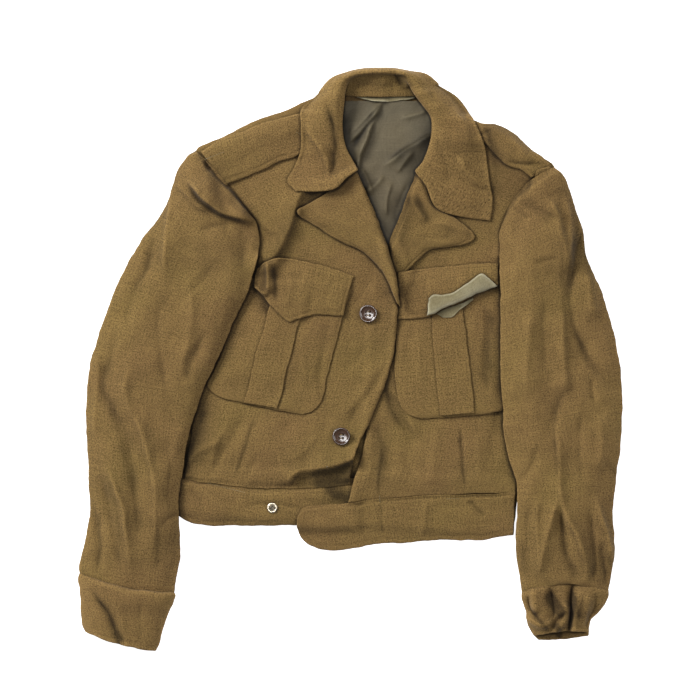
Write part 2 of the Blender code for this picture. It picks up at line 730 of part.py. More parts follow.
def add_tube(name, upper, under, wall, finish):
    """A flattened tube, open at both ends, from the sheets of its two sides.

    Each ring runs over the upper side and back along the under side; the inner ring
    is the same line moved in by the wall.
    """
    side = np.linspace(0, 1, upper.x.shape[1])
    inset = wall / np.hypot(upper.x[:, -1] - upper.x[:, 0], upper.y[:, -1] - upper.y[:, 0])
    narrowed = inset[:, None] + side * (1 - 2 * inset[:, None])
    rings = []
    for depth, share in ((0.0, np.broadcast_to(side, narrowed.shape)), (wall, narrowed)):
        lines = []
        for sheet, height in ((upper, upper.z - depth), (under, under.z - under.wall + depth)):
            line_x = [np.interp(s, side, row) for s, row in zip(share, sheet.x)]
            line_y = [np.interp(s, side, row) for s, row in zip(share, sheet.y)]
            lines.append(np.stack([line_x, line_y, height], -1))
        rings.append(np.concatenate([lines[0], lines[1][:, ::-1]], axis=1))
    outer, inner = rings
    sections, around = outer.shape[:2]
    index = np.arange(sections * around).reshape(sections, around)
    here, below = index[:-1].ravel(), index[1:].ravel()
    beside, both = np.roll(index[:-1], -1, 1).ravel(), np.roll(index[1:], -1, 1).ravel()
    skin = np.concatenate([np.stack([here, below, both], 1), np.stack([here, both, beside], 1)])
    deeper = sections * around
    ends = []
    for edge, turned_round in ((index[0], False), (index[-1], True)):
        following = np.roll(edge, -1)
        outward = [
            np.stack([edge, following, following + deeper], 1),
            np.stack([edge, following + deeper, edge + deeper], 1),
        ]
        ends += [face[:, ::-1] if turned_round else face for face in outward]
    faces = np.concatenate([skin, skin[:, ::-1] + deeper, *ends])
    points = np.concatenate([outer.reshape(-1, 3), inner.reshape(-1, 3)])
    corners = points[faces]
    volume = np.einsum("ij,ij->i", corners[:, 0], np.cross(corners[:, 1], corners[:, 2])).sum()
    return new_object(name, points, faces if volume > 0 else faces[:, ::-1], finish)


# ------------------------------------------------------------------- the garment
def collar_grid(heap, along=32, across=11):
    """The middle surface of the collar: stand, roll and leaf, section by section.

    A section is a smooth curve from the neck seam up the stand, over the roll and
    out along the leaf, which rests on the heap or turns back under itself.
    """
    rows = rows_between(COLLAR, along)
    grid = np.zeros((along, across, 3))
    for number, row in enumerate(rows):
        seam, roll, out = row[0:2], row[2:4], row[4:6]
        bow, turn, seam_lift, roll_lift, out_lift = row[6:]
        reach = np.linalg.norm(out - roll)
        heading = (out - roll) / reach
        square = np.array([-heading[1], heading[0]])
        turned_under = min(max(turn / COLLAR_TURN, 0.0), 1.0)
        seam_z = heap.at(seam) + seam_lift
        roll_z = heap.at(roll) + roll_lift + DOUBLE
        out_z = heap.at(out) + out_lift + DOUBLE / 2 + SEAM_GAP
        edge_z = out_z + turned_under * (DOUBLE - out_z)
        climb = roll_z - seam_z
        places = [
            (seam, seam_z),
            (seam + (roll - seam) * 0.55, seam_z + 0.22 * climb),
            (roll - heading * 1.5, seam_z + 0.64 * climb),
            (roll + heading * reach * 0.16, roll_z),
            (roll + heading * reach * 0.62 + square * bow, 0.45 * roll_z + 0.55 * out_z + 1.0),
            (out - heading * reach * 0.1 * (1 - turned_under) + square * bow * 0.3, out_z),
            (out - heading * turn, edge_z),
        ]
        profile = np.array([(*place, height) for place, height in places])
        strides = np.linalg.norm(np.diff(profile, axis=0), axis=1)
        lengths = np.concatenate([[0.0], np.cumsum(strides)])
        grid[number] = smooth_through(profile, lengths, np.linspace(0, lengths[-1], across))
    return grid


def grid_normals(grid):
    """Unit normals of a grid of points, from the differences between its neighbours."""
    along = np.gradient(grid, axis=0)
    across = np.gradient(grid, axis=1)
    normal = np.cross(along, across)
    return normal / np.linalg.norm(normal, axis=-1, keepdims=True)


def add_collar(heap):
    grid = collar_grid(heap)
    grid[..., 2] += fold_height(COLLAR_FOLDS, grid[..., 0], grid[..., 1])
    collar = Sheet(grid[..., 0], grid[..., 1], grid[..., 2], DOUBLE / 2)
    collar.settle(heap)
    grid = np.stack([collar.x, collar.y, collar.z], -1)
    normals = grid_normals(grid)
    return add_wall("collar", grid + normals * DOUBLE / 2, grid - normals * DOUBLE / 2, WOOL)


def turned(profile, radius, steps):
    """Points and faces of a profile, from one end of the Z axis to the other, turned about it."""
    angles = np.arange(steps) * math.tau / steps
    ring = np.stack([np.cos(angles), np.sin(angles), np.zeros(steps)], 1)
    points = [np.array([[0, 0, profile[0][1]]])]
    points += [ring * share * radius + np.array([0, 0, height]) for share, height in profile[1:-1]]
    points.append(np.array([[0, 0, profile[-1][1]]]))
    faces = []
    for step in range(steps):
        other = (step + 1) % steps
        faces.append((0, 1 + other, 1 + step))
        for band in range(len(profile) - 3):
            low, high = 1 + band * steps, 1 + (band + 1) * steps
            faces.append((low + step, low + other, high + other, high + step))
        last = 1 + (len(profile) - 3) * steps
        faces.append((last + step, last + other, 1 + (len(profile) - 2) * steps))
    return np.concatenate(points), faces


def resting_height(heap, x, y, radius):
    """The highest point of the heap under a disc."""
    reach = np.arange(-radius, radius + 1, CELL)
    dx, dy = np.meshgrid(reach, reach)
    inside = np.hypot(dx, dy) <= radius
    column, row = heap.cells(x + dx[inside], y + dy[inside])
    return heap.height[row, column].max()


def add_button(name, x, y, z):
    """A dished four-hole button with a raised rim."""
    points, faces = turned(BUTTON_PROFILE, FRONT_BUTTON / 2, 24)
    button = new_object(name, points + np.array([x, y, z]), faces, HORN)
    half = BUTTON_HOLE_PITCH / 2
    for number, (dx, dy) in enumerate([(-half, -half), (half, -half), (half, half), (-half, half)]):
        mesh = bmesh.new()
        bmesh.ops.create_cone(
            mesh, cap_ends=True, segments=8, radius1=BUTTON_HOLE / 2 * MM,
            radius2=BUTTON_HOLE / 2 * MM, depth=8 * MM,
        )
        data = bpy.data.meshes.new(f"{name}_drill_{number}")
        mesh.to_mesh(data)
        mesh.free()
        drill = bpy.data.objects.new(data.name, data)
        drill.location = (
            (x + dx - PLAN_CENTRE[0]) * MM,
            (y + dy - PLAN_CENTRE[1]) * MM,
            (z + 1) * MM,
        )
        drill.rotation_euler.z = DRILL_TURN
        drill.hide_render = True
        drill.display_type = "WIRE"
        bpy.context.scene.collection.objects.link(drill)
        cut = button.modifiers.new(f"thread hole {number}", "BOOLEAN")
        cut.operation = "DIFFERENCE"
        cut.object = drill
    return button


def add_snap(x, y, z):
    """The stud half of a snap: a rolled washer with a hollow stud in its middle."""
    points, faces = turned(SNAP_PROFILE, SNAP / 2, 20)
    return new_object("snap_stud", points + np.array([x, y, z]), faces, NICKEL)


def build():
    for leftover in list(bpy.data.objects):
        bpy.data.objects.remove(leftover, do_unlink=True)

    heap = Heap()
    laid = {}

    def lay(name, table, along, across, wall, finish=WOOL, **shape):
        laid[name] = drape(heap, table, along, across, wall, **shape)
        add_sheet(name, laid[name], finish)

    # The back and its band lie flat on the table, so they start from no height.
    for name, table, along, across, wall in (
        ("back", BACK, 12, 8, SHELL),
        ("waistband_back", WAISTBAND_BACK, 8, 3, DOUBLE),
    ):
        x, y, _ = plan_of(table, along, across)
        flat = Sheet(x, y, np.full_like(x, wall), wall)
        heap.lay(flat)
        add_sheet(name, flat, WOOL)

    lay("lining_back", LINING_BACK, 14, 9, LINING, SATEEN, folds=LINING_FOLDS, reach=2)
    lay("neck_tape", NECK_TAPE, 7, 3, LINING, COTTON, reach=2)
    lay("waistband_right", WAISTBAND_RIGHT, 16, 4, DOUBLE, reach=4)

    # The left front and what is sewn on it.
    lay("front_left", FRONT_LEFT, 26, 12, SHELL, folds=BODY_LEFT_FOLDS, sway=1.2, seed=3)
    lay("waistband_left", WAISTBAND_LEFT, 24, 4, DOUBLE, reach=4)
    lay("lapel_left", LAPEL_LEFT, 14, 7, DOUBLE, folds=LAPEL_LEFT_FOLDS, reach=3)
    lay("pocket_left", POCKET_LEFT, 13, 9, PATCH, reach=2)
    lay("pleat_left", PLEAT_LEFT, 10, 3, PATCH, reach=2)
    lay("flap_left_tab", FLAP_LEFT_TAB, 8, 4, LINING, COTTON, reach=2)
    lay("flap_left", FLAP_LEFT, 12, 5, FLAP, reach=3)
    lay("flap_left_lining", FLAP_LEFT_LINING, 12, 4, FLAP, COTTON, reach=2)

    # The right front laps over the left down to the lower button, and stops short of it below.
    lay("front_right", FRONT_RIGHT, 30, 14, SHELL, folds=BODY_RIGHT_FOLDS, sway=1.2, seed=5, reach=4)
    lay("lapel_right", LAPEL_RIGHT, 16, 7, DOUBLE, reach=3)
    lay("pocket_right", POCKET_RIGHT, 13, 9, PATCH, reach=2)
    lay("pleat_right", PLEAT_RIGHT, 10, 3, PATCH, reach=2)
    lay("flap_right", FLAP_RIGHT, 13, 6, FLAP, reach=3)

    lay("strap_right", STRAP_RIGHT, 12, 5, FLAP, reach=4)
    lay("strap_left", STRAP_LEFT, 12, 5, FLAP, reach=4)

    # Sleeves lie over the body's sides, and their under pieces on the table.
    for side, under, upper, folds in (
        ("right", SLEEVE_RIGHT_UNDER, SLEEVE_RIGHT_UPPER, SLEEVE_RIGHT_FOLDS),
        ("left", SLEEVE_LEFT_UNDER, SLEEVE_LEFT_UPPER, SLEEVE_LEFT_FOLDS),
    ):
        lay(f"sleeve_{side}_under", under, 15, 11, SHELL, reach=8)
        lay(f"sleeve_{side}_upper", upper, 28, 11, SHELL, folds=folds, sway=1.0, seed=11)

    for side, under, upper, folds in (
        ("right", CUFF_RIGHT, CUFF_RIGHT, CUFF_RIGHT_FOLDS),
        ("left", CUFF_LEFT_UNDER, CUFF_LEFT_UPPER, CUFF_LEFT_FOLDS),
    ):
        x, y, _ = plan_of(under, 9, 11)
        floor = Sheet(x, y, np.full_like(x, DOUBLE), DOUBLE)
        heap.lay(floor)
        roof = drape(heap, upper, 9, 11, DOUBLE, folds=folds, reach=2, body=CUFF_BODY)
        add_tube(f"cuff_{side}", roof, floor, DOUBLE, WOOL)

    add_collar(heap)
    add_button("button_upper", 19, 56, resting_height(heap, 19, 56, 11) + SEAM_GAP)
    add_button("button_lower", -11, -91, resting_height(heap, -11, -91, 11) + SEAM_GAP)
    add_snap(-94.5, -177, resting_height(heap, -94.5, -177, 7) + SEAM_GAP)


build()
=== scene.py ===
# %% [markdown]
# # A wool field jacket, laid on its back
#
# This lesson dresses a jacket that was first built as plain solids.  The solids say how
# big each cut piece is and which piece lies on which.  Here each of them gets a finer
# skin: rounded edges, rows of stitches, soft creases and a woven finish.
#
# The jacket lies with its collar towards +Y and its wearer's left towards +X.  The
# tables below are in millimetres on the table top, and the meshes are in metres.

# %% Load the frame
import math

import bpy
import numpy as np
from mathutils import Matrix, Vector


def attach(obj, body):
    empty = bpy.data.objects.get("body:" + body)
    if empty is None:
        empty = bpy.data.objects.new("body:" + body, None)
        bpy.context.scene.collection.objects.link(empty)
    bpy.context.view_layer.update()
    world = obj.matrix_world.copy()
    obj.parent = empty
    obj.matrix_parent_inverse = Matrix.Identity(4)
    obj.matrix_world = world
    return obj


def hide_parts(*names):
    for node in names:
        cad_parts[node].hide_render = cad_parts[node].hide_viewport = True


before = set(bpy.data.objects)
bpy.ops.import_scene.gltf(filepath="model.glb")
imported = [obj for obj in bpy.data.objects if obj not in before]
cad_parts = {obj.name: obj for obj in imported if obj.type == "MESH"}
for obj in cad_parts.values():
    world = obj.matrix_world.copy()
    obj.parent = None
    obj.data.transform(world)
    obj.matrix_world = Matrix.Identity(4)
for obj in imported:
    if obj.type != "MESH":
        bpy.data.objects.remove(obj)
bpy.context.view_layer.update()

MM = 0.001

# %% [markdown]
# ## A smooth curve through a short table
#
# A tailor draws a sleeve from a few chalk marks and joins them with a curve.  The same
# idea builds every piece here: a table holds a few cross-sections of the cloth and a
# Hermite curve joins them.  The slope at a mark is that of the parabola through it and
# its two neighbours, so that no mark shows as a corner.

# %% Curves
def smooth_through(knots, stations, wanted):
    """Values at the wanted stations of a smooth curve through the knots.

    With t the share of the way from knot a to knot b, and A and B their slopes times the
    distance between them, the curve is a(2t^3 - 3t^2 + 1) + A(t^3 - 2t^2 + t)
    + b(3t^2 - 2t^3) + B(t^3 - t^2).
    """
    gap = np.diff(stations, axis=-1)[..., None]
    rise = np.diff(knots, axis=-2) / gap
    before, after = gap[..., :-1, :], gap[..., 1:, :]
    inner = (rise[..., :-1, :] * after + rise[..., 1:, :] * before) / (before + after)
    slopes = np.concatenate([rise[..., :1, :], inner, rise[..., -1:, :]], -2)
    piece = (wanted[..., None] >= stations[..., None, 1:-1]).sum(-1)[..., None]

    def at(values):
        return np.take_along_axis(values, piece, -2)

    span = at(gap)
    t = (wanted[..., None] - at(stations[..., :-1, None])) / span
    return (
        at(knots[..., :-1, :]) * (2 * t**3 - 3 * t**2 + 1)
        + at(slopes[..., :-1, :]) * span * (t**3 - 2 * t**2 + t)
        + at(knots[..., 1:, :]) * (3 * t**2 - 2 * t**3)
        + at(slopes[..., 1:, :]) * span * (t**3 - t**2)
    )


# Distances from a cut edge at which a grid has its lines: close together, so that the
# edge can be rounded and a row of stitches can sink in.
EDGE_LINES = np.array([0, 0.35, 0.8, 1.5, 2.4, 3.4, 4.5, 5.5, 6.5, 7.6, 9.2])
# Grid lines that grooves and rows of stitches follow, 2.4, 3.4, 5.5 and 7.6 mm in.
EDGE_ROW, FLAP_ROW, TOP_ROW, SEAM_ROW = 4, 5, 7, 9


def edged(lengths, spacing):
    """Grid lines over lengths in mm: EDGE_LINES at both ends and evenly spaced between."""
    lengths = np.atleast_1d(lengths)[:, None]
    near = EDGE_LINES * np.minimum(1, lengths / (2.6 * EDGE_LINES[-1]))
    count = max(2, int((lengths.max() - 2 * EDGE_LINES[-1]) / spacing))
    share = np.linspace(0, 1, count + 2)[1:-1]
    middle = near[:, -1:] + share * (lengths - 2 * near[:, -1:])
    return np.concatenate([near, middle, lengths - near[:, ::-1]], 1)


def sections(table, spacing):
    """A table's sections at closer stations, and how far along the piece each one is."""
    knots = np.array(table, float)
    steps = np.diff(knots, axis=0)
    stride = np.maximum(np.hypot(steps[:, 0], steps[:, 1]), np.hypot(steps[:, 2], steps[:, 3]))
    stations = np.concatenate([[0.0], np.cumsum(stride)])
    along = edged(stations[-1], spacing)[0]
    return smooth_through(knots, stations, along), along


print("a 100 mm edge has its grid lines at", np.round(edged(100.0, 20.0)[0], 1))

# %% [markdown]
# ## Creases
#
# Wool that has been folded away keeps soft creases.  The main ones are listed in
# tables.  Each row gives a height, how far the fold spreads to the left and to the
# right of its line, and the points x, y, x, y that the line runs through.  A steep side
# and a shallow one make the cloth look as if it laps over itself.  A slow random noise
# bends each line and makes its height uneven, as no real crease is ruled.  A finer one,
# drawn out along the way the cloth hangs, gives the small dents between them.

# %% Creases and crumple
def noise(x, y, size, seed):
    """Gradient noise from about -1 to 1, whose dents are about size mm across.

    Every lattice corner has a random direction g; near it the height is g . (p - corner),
    and the four corners of a cell are blended by 6t^5 - 15t^4 + 10t^3.
    """
    heading = np.random.default_rng(seed).uniform(0, math.tau, (61, 61))
    u, v = x / size, y / size
    i, j = np.floor(u).astype(int), np.floor(v).astype(int)
    fu, fv = u - i, v - j
    blend_u, blend_v = (f**3 * (f * (f * 6 - 15) + 10) for f in (fu, fv))
    total = np.zeros_like(u)
    for right in (0, 1):
        for up in (0, 1):
            angle = heading[(i + right) % 61, (j + up) % 61]
            weight = (blend_u if right else 1 - blend_u) * (blend_v if up else 1 - blend_v)
            total += weight * (np.cos(angle) * (fu - right) + np.sin(angle) * (fv - up))
    return total * 1.6


CREST = 1.2  # how round the crest of a fold is, mm


def fold_height(folds, x, y):
    """Height that the listed folds add at plan points x, y.

    h = height * fade * (1 + 0.3 n) * exp(-1.2 e), where e is (sqrt(d^2 + CREST^2) - CREST)
    / spread: two flat flanks that meet in a round crest.  d is the distance to the fold's
    smooth line, spread its own value on each side of the line, n a slow noise, and fade
    rises from 0 over the first quarter of the line and falls over the last.
    """
    total = np.zeros_like(x)
    bent_x = x + 1.4 * noise(x, y, 27, 71)
    bent_y = y + 1.4 * noise(x, y, 27, 72)
    uneven = 1 + 0.3 * noise(x, y, 23, 73)
    for height, left, right, points in folds:
        marks = np.array(points, float).reshape(-1, 2)
        far = np.concatenate([[0.0], np.hypot(*np.diff(marks, axis=0).T).cumsum()])
        line = smooth_through(marks, far, np.linspace(0, far[-1], 5 * len(marks)))
        step_x, step_y = np.diff(line, axis=0).T
        from_x, from_y = bent_x[..., None] - line[:-1, 0], bent_y[..., None] - line[:-1, 1]
        t = np.clip((from_x * step_x + from_y * step_y) / (step_x**2 + step_y**2), 0, 1)
        off_x, off_y = from_x - t * step_x, from_y - t * step_y
        distance = np.hypot(off_x, off_y)
        nearest = distance.argmin(-1)[..., None]

        def pick(values):
            return np.take_along_axis(values, nearest, -1)[..., 0]

        share = (nearest[..., 0] + pick(t)) / len(step_x)
        spread = np.where(pick(step_x * off_y - step_y * off_x) > 0, left, right)
        fade = np.clip(4 * np.minimum(share, 1 - share), 0, 1)
        total += height * uneven * fade**2 * (3 - 2 * fade) * np.exp(
            -1.2 * (np.hypot(pick(distance), CREST) - CREST) / spread
        )
    return total


def crumple(x, y, seed, lie):
    """Small random dents, drawn out along lie, the heading of the cloth in degrees.

    Smooth noise in three sizes, less 1 - sqrt(n^2 + 0.01) of two more noises, whose
    creases run where those are zero.
    """
    turn = math.radians(lie)
    run = (x * math.cos(turn) + y * math.sin(turn)) / 1.9
    side = y * math.cos(turn) - x * math.sin(turn)
    ripples = 0.9 * noise(run, side, 47, seed) + 0.4 * noise(run, side, 21, seed + 1)
    ripples += 0.12 * noise(run, side, 9, seed + 2)
    long_creases = 1 - np.sqrt(noise(run, side, 41, seed + 3) ** 2 + 0.01)
    short_creases = 1 - np.sqrt(noise(1.3 * x, 1.3 * y, 27, seed + 4) ** 2 + 0.01)
    return 0.6 * ripples - 0.9 * (long_creases - 0.6) + 0.35 * (short_creases - 0.6)


sample = crumple(*np.meshgrid(np.arange(0.0, 200.0), np.arange(0.0, 200.0)), 1, 90)
print(f"crumple runs from {sample.min():.2f} to {sample.max():.2f} mm")

# %% [markdown]
# ## Laying cloth on cloth
#
# A garment on a table is a heap of sheets, and each one takes the form of what is under
# it.  A height map of the table top remembers how high the heap is at every millimetre.
# A new sheet rests on that map, softened, because cloth bridges small steps.  Then the
# map is raised to the sheet's own upper face.  Nothing can then lie inside anything
# else, and a pocket shows through the lapel above it.

# %% The heap
SEAM_GAP = 0.2  # clear space between two pieces that touch
HALF = 372  # the height map runs from -HALF to HALF, in cells of one millimetre
PLAN_CENTRE = (-0.304, 0.611)  # the tables' middle, which is the frame's origin
heap = np.zeros((2 * HALF + 1, 2 * HALF + 1))


def shifted(height, steps, axis):
    """A height map moved by each whole number of cells from -steps to steps."""
    return [np.roll(height, s, axis) for s in range(-steps, steps + 1)]


def highest_near(height, steps):
    """Each cell's highest neighbour within so many cells."""
    for axis in (0, 1):
        height = np.max(shifted(height, steps, axis), axis=0)
    return height


def softened(height, steps):
    """The height map averaged twice over a square of so many cells each way."""
    for axis in (0, 1, 0, 1):
        height = np.mean(shifted(height, steps, axis), axis=0)
    return height


def read_map(height, x, y):
    """A height map read between its cells: the four nearest, weighted by nearness."""
    u, v = (np.clip(place + HALF, 0, 2 * HALF - 1.001) for place in (x, y))
    i, j = u.astype(int), v.astype(int)
    fu, fv = u - i, v - j
    near = height[j, i] * (1 - fu) + height[j, i + 1] * fu
    far = height[j + 1, i] * (1 - fu) + height[j + 1, i + 1] * fu
    return near * (1 - fv) + far * fv


def lay_on_map(height, x, y, top):
    """Raises a height map to a grid's upper face, at five by five points of each quad."""
    a, b = np.meshgrid(np.linspace(0, 1, 5), np.linspace(0, 1, 5))
    weights = np.stack([(1 - a) * (1 - b), a * (1 - b), (1 - a) * b, a * b]).reshape(4, -1)

    def points(values):
        corners = [values[:-1, :-1], values[1:, :-1], values[:-1, 1:], values[1:, 1:]]
        return np.stack(corners, -1) @ weights

    column, row = (np.clip(np.round(points(p) + HALF).astype(int), 0, 2 * HALF) for p in (x, y))
    np.maximum.at(height, (row, column), points(top))


class Cloth:
    """The grid of a sheet's middle surface in mm, and half its thickness at each point.

    The half thickness falls to nothing at the cut edge as a quarter circle does:
    h = wall / 2 * sqrt(1 - (1 - d / r)^2) at a distance d less than r from the edge.
    """

    def __init__(self, grid, wall, from_edges, u, v):
        self.grid, self.u, self.v = grid, u, v
        depth = np.clip(from_edges.min(axis=0) / np.maximum(0.6 * wall, 0.3), 0, 1)
        self.half = wall / 2 * np.sqrt(1 - (1 - depth) ** 2)
        self.normals = np.array([0, 0, 1.0])

    def face(self, side):
        """The upper face for a side of 1, the lower one for -1."""
        return self.grid + side * self.half[..., None] * self.normals


def eased(near, far, distance):
    """near at a distance of 0, far from a distance of 1 on, blended by 3t^2 - 2t^3."""
    t = np.clip(distance, 0, 1)
    return near + (far - near) * t**2 * (3 - 2 * t)


def wavy(x, y):
    """Moves plan points by up to about a millimetre, so that no cut edge is quite straight."""
    push_x, push_y = (1.0 * noise(x, y, 23, s) + 0.5 * noise(x, y, 8, s + 1) for s in (91, 93))
    return x + push_x, y + push_y


def drape(
    table, wall, spacing, folds=(), reach=6.0, body=3.0, sway=0.0, seed=1, lie=90.0,
    grooves=(), roll=None, seams=(), ground=None,
):
    """Lays a table's sheet on the heap.

    Its height is the softened heap + the loft of the row times 1 - |2s - 1|^body, with s
    the share of the way across, + folds + crumple - a groove under each row of stitches.
    grooves are (side, line) pairs; sides 0 and 1 are the sections' two ends, 2 and 3 the
    first and last section.  roll is (side, height) of a turned edge that stands up.  On
    the sides in seams the cloth thins out and lies close, as where it is sewn down.
    ground is a height map to rest on in place of the heap.
    """
    rows, along = sections(table, spacing)
    start, end = rows[:, None, 0:2], rows[:, None, 2:4]
    chord = end - start
    width = np.linalg.norm(chord, axis=-1)
    across = edged(width[:, 0], spacing)
    share = across / width
    square = np.stack([-chord[..., 1], chord[..., 0]], -1) / width[..., None]
    plan = start + chord * share[..., None]
    plan = plan + square * (rows[:, 4, None] * 4 * share * (1 - share))[..., None]
    x, y = wavy(plan[..., 0], plan[..., 1])
    run = np.broadcast_to(along[:, None], share.shape)
    from_edges = np.stack([across, width - across, run, along[-1] - run])
    from_seam = np.min([from_edges[side] for side in seams] or [run + 99], axis=0)
    shaped = rows[:, 5, None] * (1 - np.abs(2 * share - 1) ** body)
    shaped = shaped + fold_height(folds, x, y)
    shaped = shaped + sway * crumple(x, y, seed, lie) * eased(0.3, 1, from_edges.min(axis=0) / 9)
    if roll:
        from_roll = from_edges[roll[0]]
        rise = roll[1] * (1 - np.exp(-from_roll / 2.2))
        shaped = shaped + rise * np.exp(-((from_roll / 13) ** 2))
    pull = 0.75 + 0.5 * noise(x, y, 7, 80) + 0.3 * noise(x, y, 3.1, 81)
    for side, line in grooves:
        off = from_edges[side] - EDGE_LINES[line]
        shaped = shaped - 0.6 * pull * np.exp(-((off / 1.2) ** 2))
    shaped = eased(0, np.maximum(shaped, -0.8), from_seam / 8)
    wall = wall * eased(0.3, 1, from_seam / 7)
    steps = max(1, round(0.75 * reach))
    under = heap if ground is None else ground
    resting = read_map(softened(highest_near(under, 2 * steps), steps), x, y)
    close = read_map(softened(highest_near(under, 2), 1), x, y)
    top = eased(close, resting, from_seam / 12) + SEAM_GAP + wall + shaped
    top = np.maximum(top, read_map(highest_near(heap, 1), x, y) + SEAM_GAP + wall)
    sheet = Cloth(np.stack([x, y, top - wall / 2], -1), wall, from_edges, across, run)
    lay_on_map(heap, x, y, sheet.face(1)[..., 2])
    return sheet


print("height map:", heap.shape, "cells")

# %% [markdown]
# ## From a grid to a closed piece of cloth
#
# A sheet with no thickness has no edge to catch the light.  Each grid becomes a closed
# wall: an upper face, a lower face and a rim that joins them.  The mesh also gets a UV
# map in metres of cloth, so that the weave has its true size on every piece and turns
# with it.

# %% Meshes from grids
slots = {}  # the pieces of each finish
sheets = {}  # the sheet behind each CAD node, or a cuff's upper side: stitches follow it


def wall_quads(sections_count, across_count, ring):
    """Quads of a closed wall: upper grid first, lower grid second, rim between them."""
    index = np.arange(sections_count * across_count).reshape(sections_count, across_count)
    if ring:
        index = np.concatenate([index, index[:, :1]], 1)
    here, below, beside, both = index[:-1, :-1], index[1:, :-1], index[:-1, 1:], index[1:, 1:]
    upper = np.stack([here, below, both, beside], -1).reshape(-1, 4)
    deeper = sections_count * across_count
    if ring:
        rims = [(index[0, :-1], index[0, 1:]), (index[-1, 1:], index[-1, :-1])]
    else:
        rim = np.concatenate([index[:, 0], index[-1, 1:], index[-2::-1, -1], index[0, -2:0:-1]])
        rims = [(np.roll(rim, -1), rim)]
    sides = [np.stack([a, b, b + deeper, a + deeper], 1) for a, b in rims]
    return np.concatenate([upper, upper[:, ::-1] + deeper, *sides])


def volume_of(points, quads):
    """Six times the volume inside the quads, by the sum of p . (q x r) of their halves."""
    a, b, c, d = (points[quads[:, k]] for k in range(4))
    return sum(np.einsum("ij,ij->i", a, np.cross(p, q)).sum() for p, q in ((b, c), (c, d)))


def new_piece(name, points, faces, slot, replaced=None, uv=None):
    """An object of points in mm on the plan, riding on the jacket, in place of a CAD node
    if one is named."""
    mesh = bpy.data.meshes.new(name)
    mesh.from_pydata(((points - [*PLAN_CENTRE, 0]) * MM).tolist(), [], faces)
    mesh.shade_smooth()
    if uv is not None:
        corner = np.zeros(len(mesh.loops), int)
        mesh.loops.foreach_get("vertex_index", corner)
        layer = mesh.uv_layers.new(name="cloth")
        layer.data.foreach_set("uv", (uv[corner] * MM).ravel().astype(np.float32))
    piece = bpy.data.objects.new(name, mesh)
    bpy.context.scene.collection.objects.link(piece)
    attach(piece, "root")
    if replaced:
        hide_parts(replaced)
    slots.setdefault(slot, []).append(piece)
    return piece


def sheet_area(grid):
    """Area of a grid's quads: half the length of the cross product of each one's diagonals."""
    one = grid[1:, 1:] - grid[:-1, :-1]
    other = grid[1:, :-1] - grid[:-1, 1:]
    return 0.5 * np.linalg.norm(np.cross(one, other), axis=-1).sum()


def longest(grid, axis):
    """The longest line of a grid that runs along one of its axes."""
    return np.linalg.norm(np.diff(grid, axis=axis), axis=-1).sum(axis=axis).max()


def add_cloth(node, sheet, slot="serge", ring=False):
    """The closed mesh of a sheet; prints the size of the flat cloth it was cut from."""
    points = np.concatenate([sheet.face(side).reshape(-1, 3) for side in (1, -1)])
    faces = wall_quads(*sheet.grid.shape[:2], ring)
    if volume_of(points, faces) < 0:
        faces = faces[:, ::-1]
    uv = np.stack([sheet.u.ravel(), sheet.v.ravel()], -1)
    name, whole_uv = f"{node}_cloth", np.concatenate([uv, uv])
    piece = new_piece(name, points, faces.tolist(), slot, node, whole_uv)
    closed = np.concatenate([sheet.grid, sheet.grid[:, :1]], 1) if ring else sheet.grid
    width, length = longest(closed, 1) * MM, longest(closed, 0) * MM
    area = sheet_area(closed) * MM**2
    sheets[node] = sheet
    size = f"{width / MM:.0f} x {length / MM:.0f} mm, {area * 1e4:.0f} cm2"
    print(f"{node}: cut {size}, {len(faces) * 2} triangles")


def lay(node, rests_on, table, wall, spacing, folds=(), slot="serge", **how):
    """Drapes a table's sheet and adds it as the piece that stands for a CAD node."""
    sheet = drape(table, wall, spacing, folds, **how)
    add_cloth(node, sheet, slot)
    return sheet


print("a wall on a grid of 3 by 3 points has", len(wall_quads(3, 3, False)), "quads")

# %% [markdown]
# ## The back, its band and the lining
#
# These lie on the table.  Little of them shows, so their grids are coarse.  The lining
# is the piece that the open neck uncovers: a smooth sateen that wrinkles more sharply
# than wool does.

# %% Back and lining
SHELL, DOUBLE, PATCH, FLAP, LINING = 2.0, 2.8, 1.6, 2.2, 1.0  # walls, as in the solids

BACK = [
    (-40, 317, 104, 317, 2, 0),
    (-80, 299, 146, 287, 0, 0),
    (-120, 285, 190, 272, 0, 0),
    (-150, 269, 214, 250, 0, 0),
    (-183, 248, 240, 229, 0, 0),
    (-174, 215, 230, 200, 0, 0),
    (-162, 175, 219, 165, 0, 0),
    (-164, 130, 214, 120, 0, 0),
    (-174, 80, 216, 70, 0, 0),
    (-190, 0, 213, -10, 0, 0),
    (-203, -60, 209, -70, 0, 0),
    (-211, -133.2, 202, -148, 0, 0),
]

WAISTBAND_BACK = [
    (-212, -135, -210, -176, 0, 0),
    (-120, -137, -122, -186, 0, 0),
    (0, -141, 0, -192, 0, 0),
    (120, -146, 120, -200, 0, 0),
    (202, -149, 195, -203, 0, 0),
]

LINING_BACK = [
    (-8, 311, 78, 311, 0, 0),
    (-22, 290, 112, 292, 0, 1),
    (-28, 262, 116, 264, 0, 2),
    (-24, 232, 108, 234, 0, 2),
    (-10, 200, 96, 204, 0, 2),
    (4, 168, 84, 170, 0, 1),
    (16, 138, 72, 138, 0, 0),
    (24, 112, 66, 112, 0, 0),
]

NECK_TAPE = [
    (7, 314.5, 7, 316, 0, 0),
    (24, 311, 24, 317, 0, 0),
    (42, 309.5, 42, 317, 0, 0),
    (60, 311, 60, 317, 0, 0),
    (77, 314.5, 77, 316, 0, 0),
]

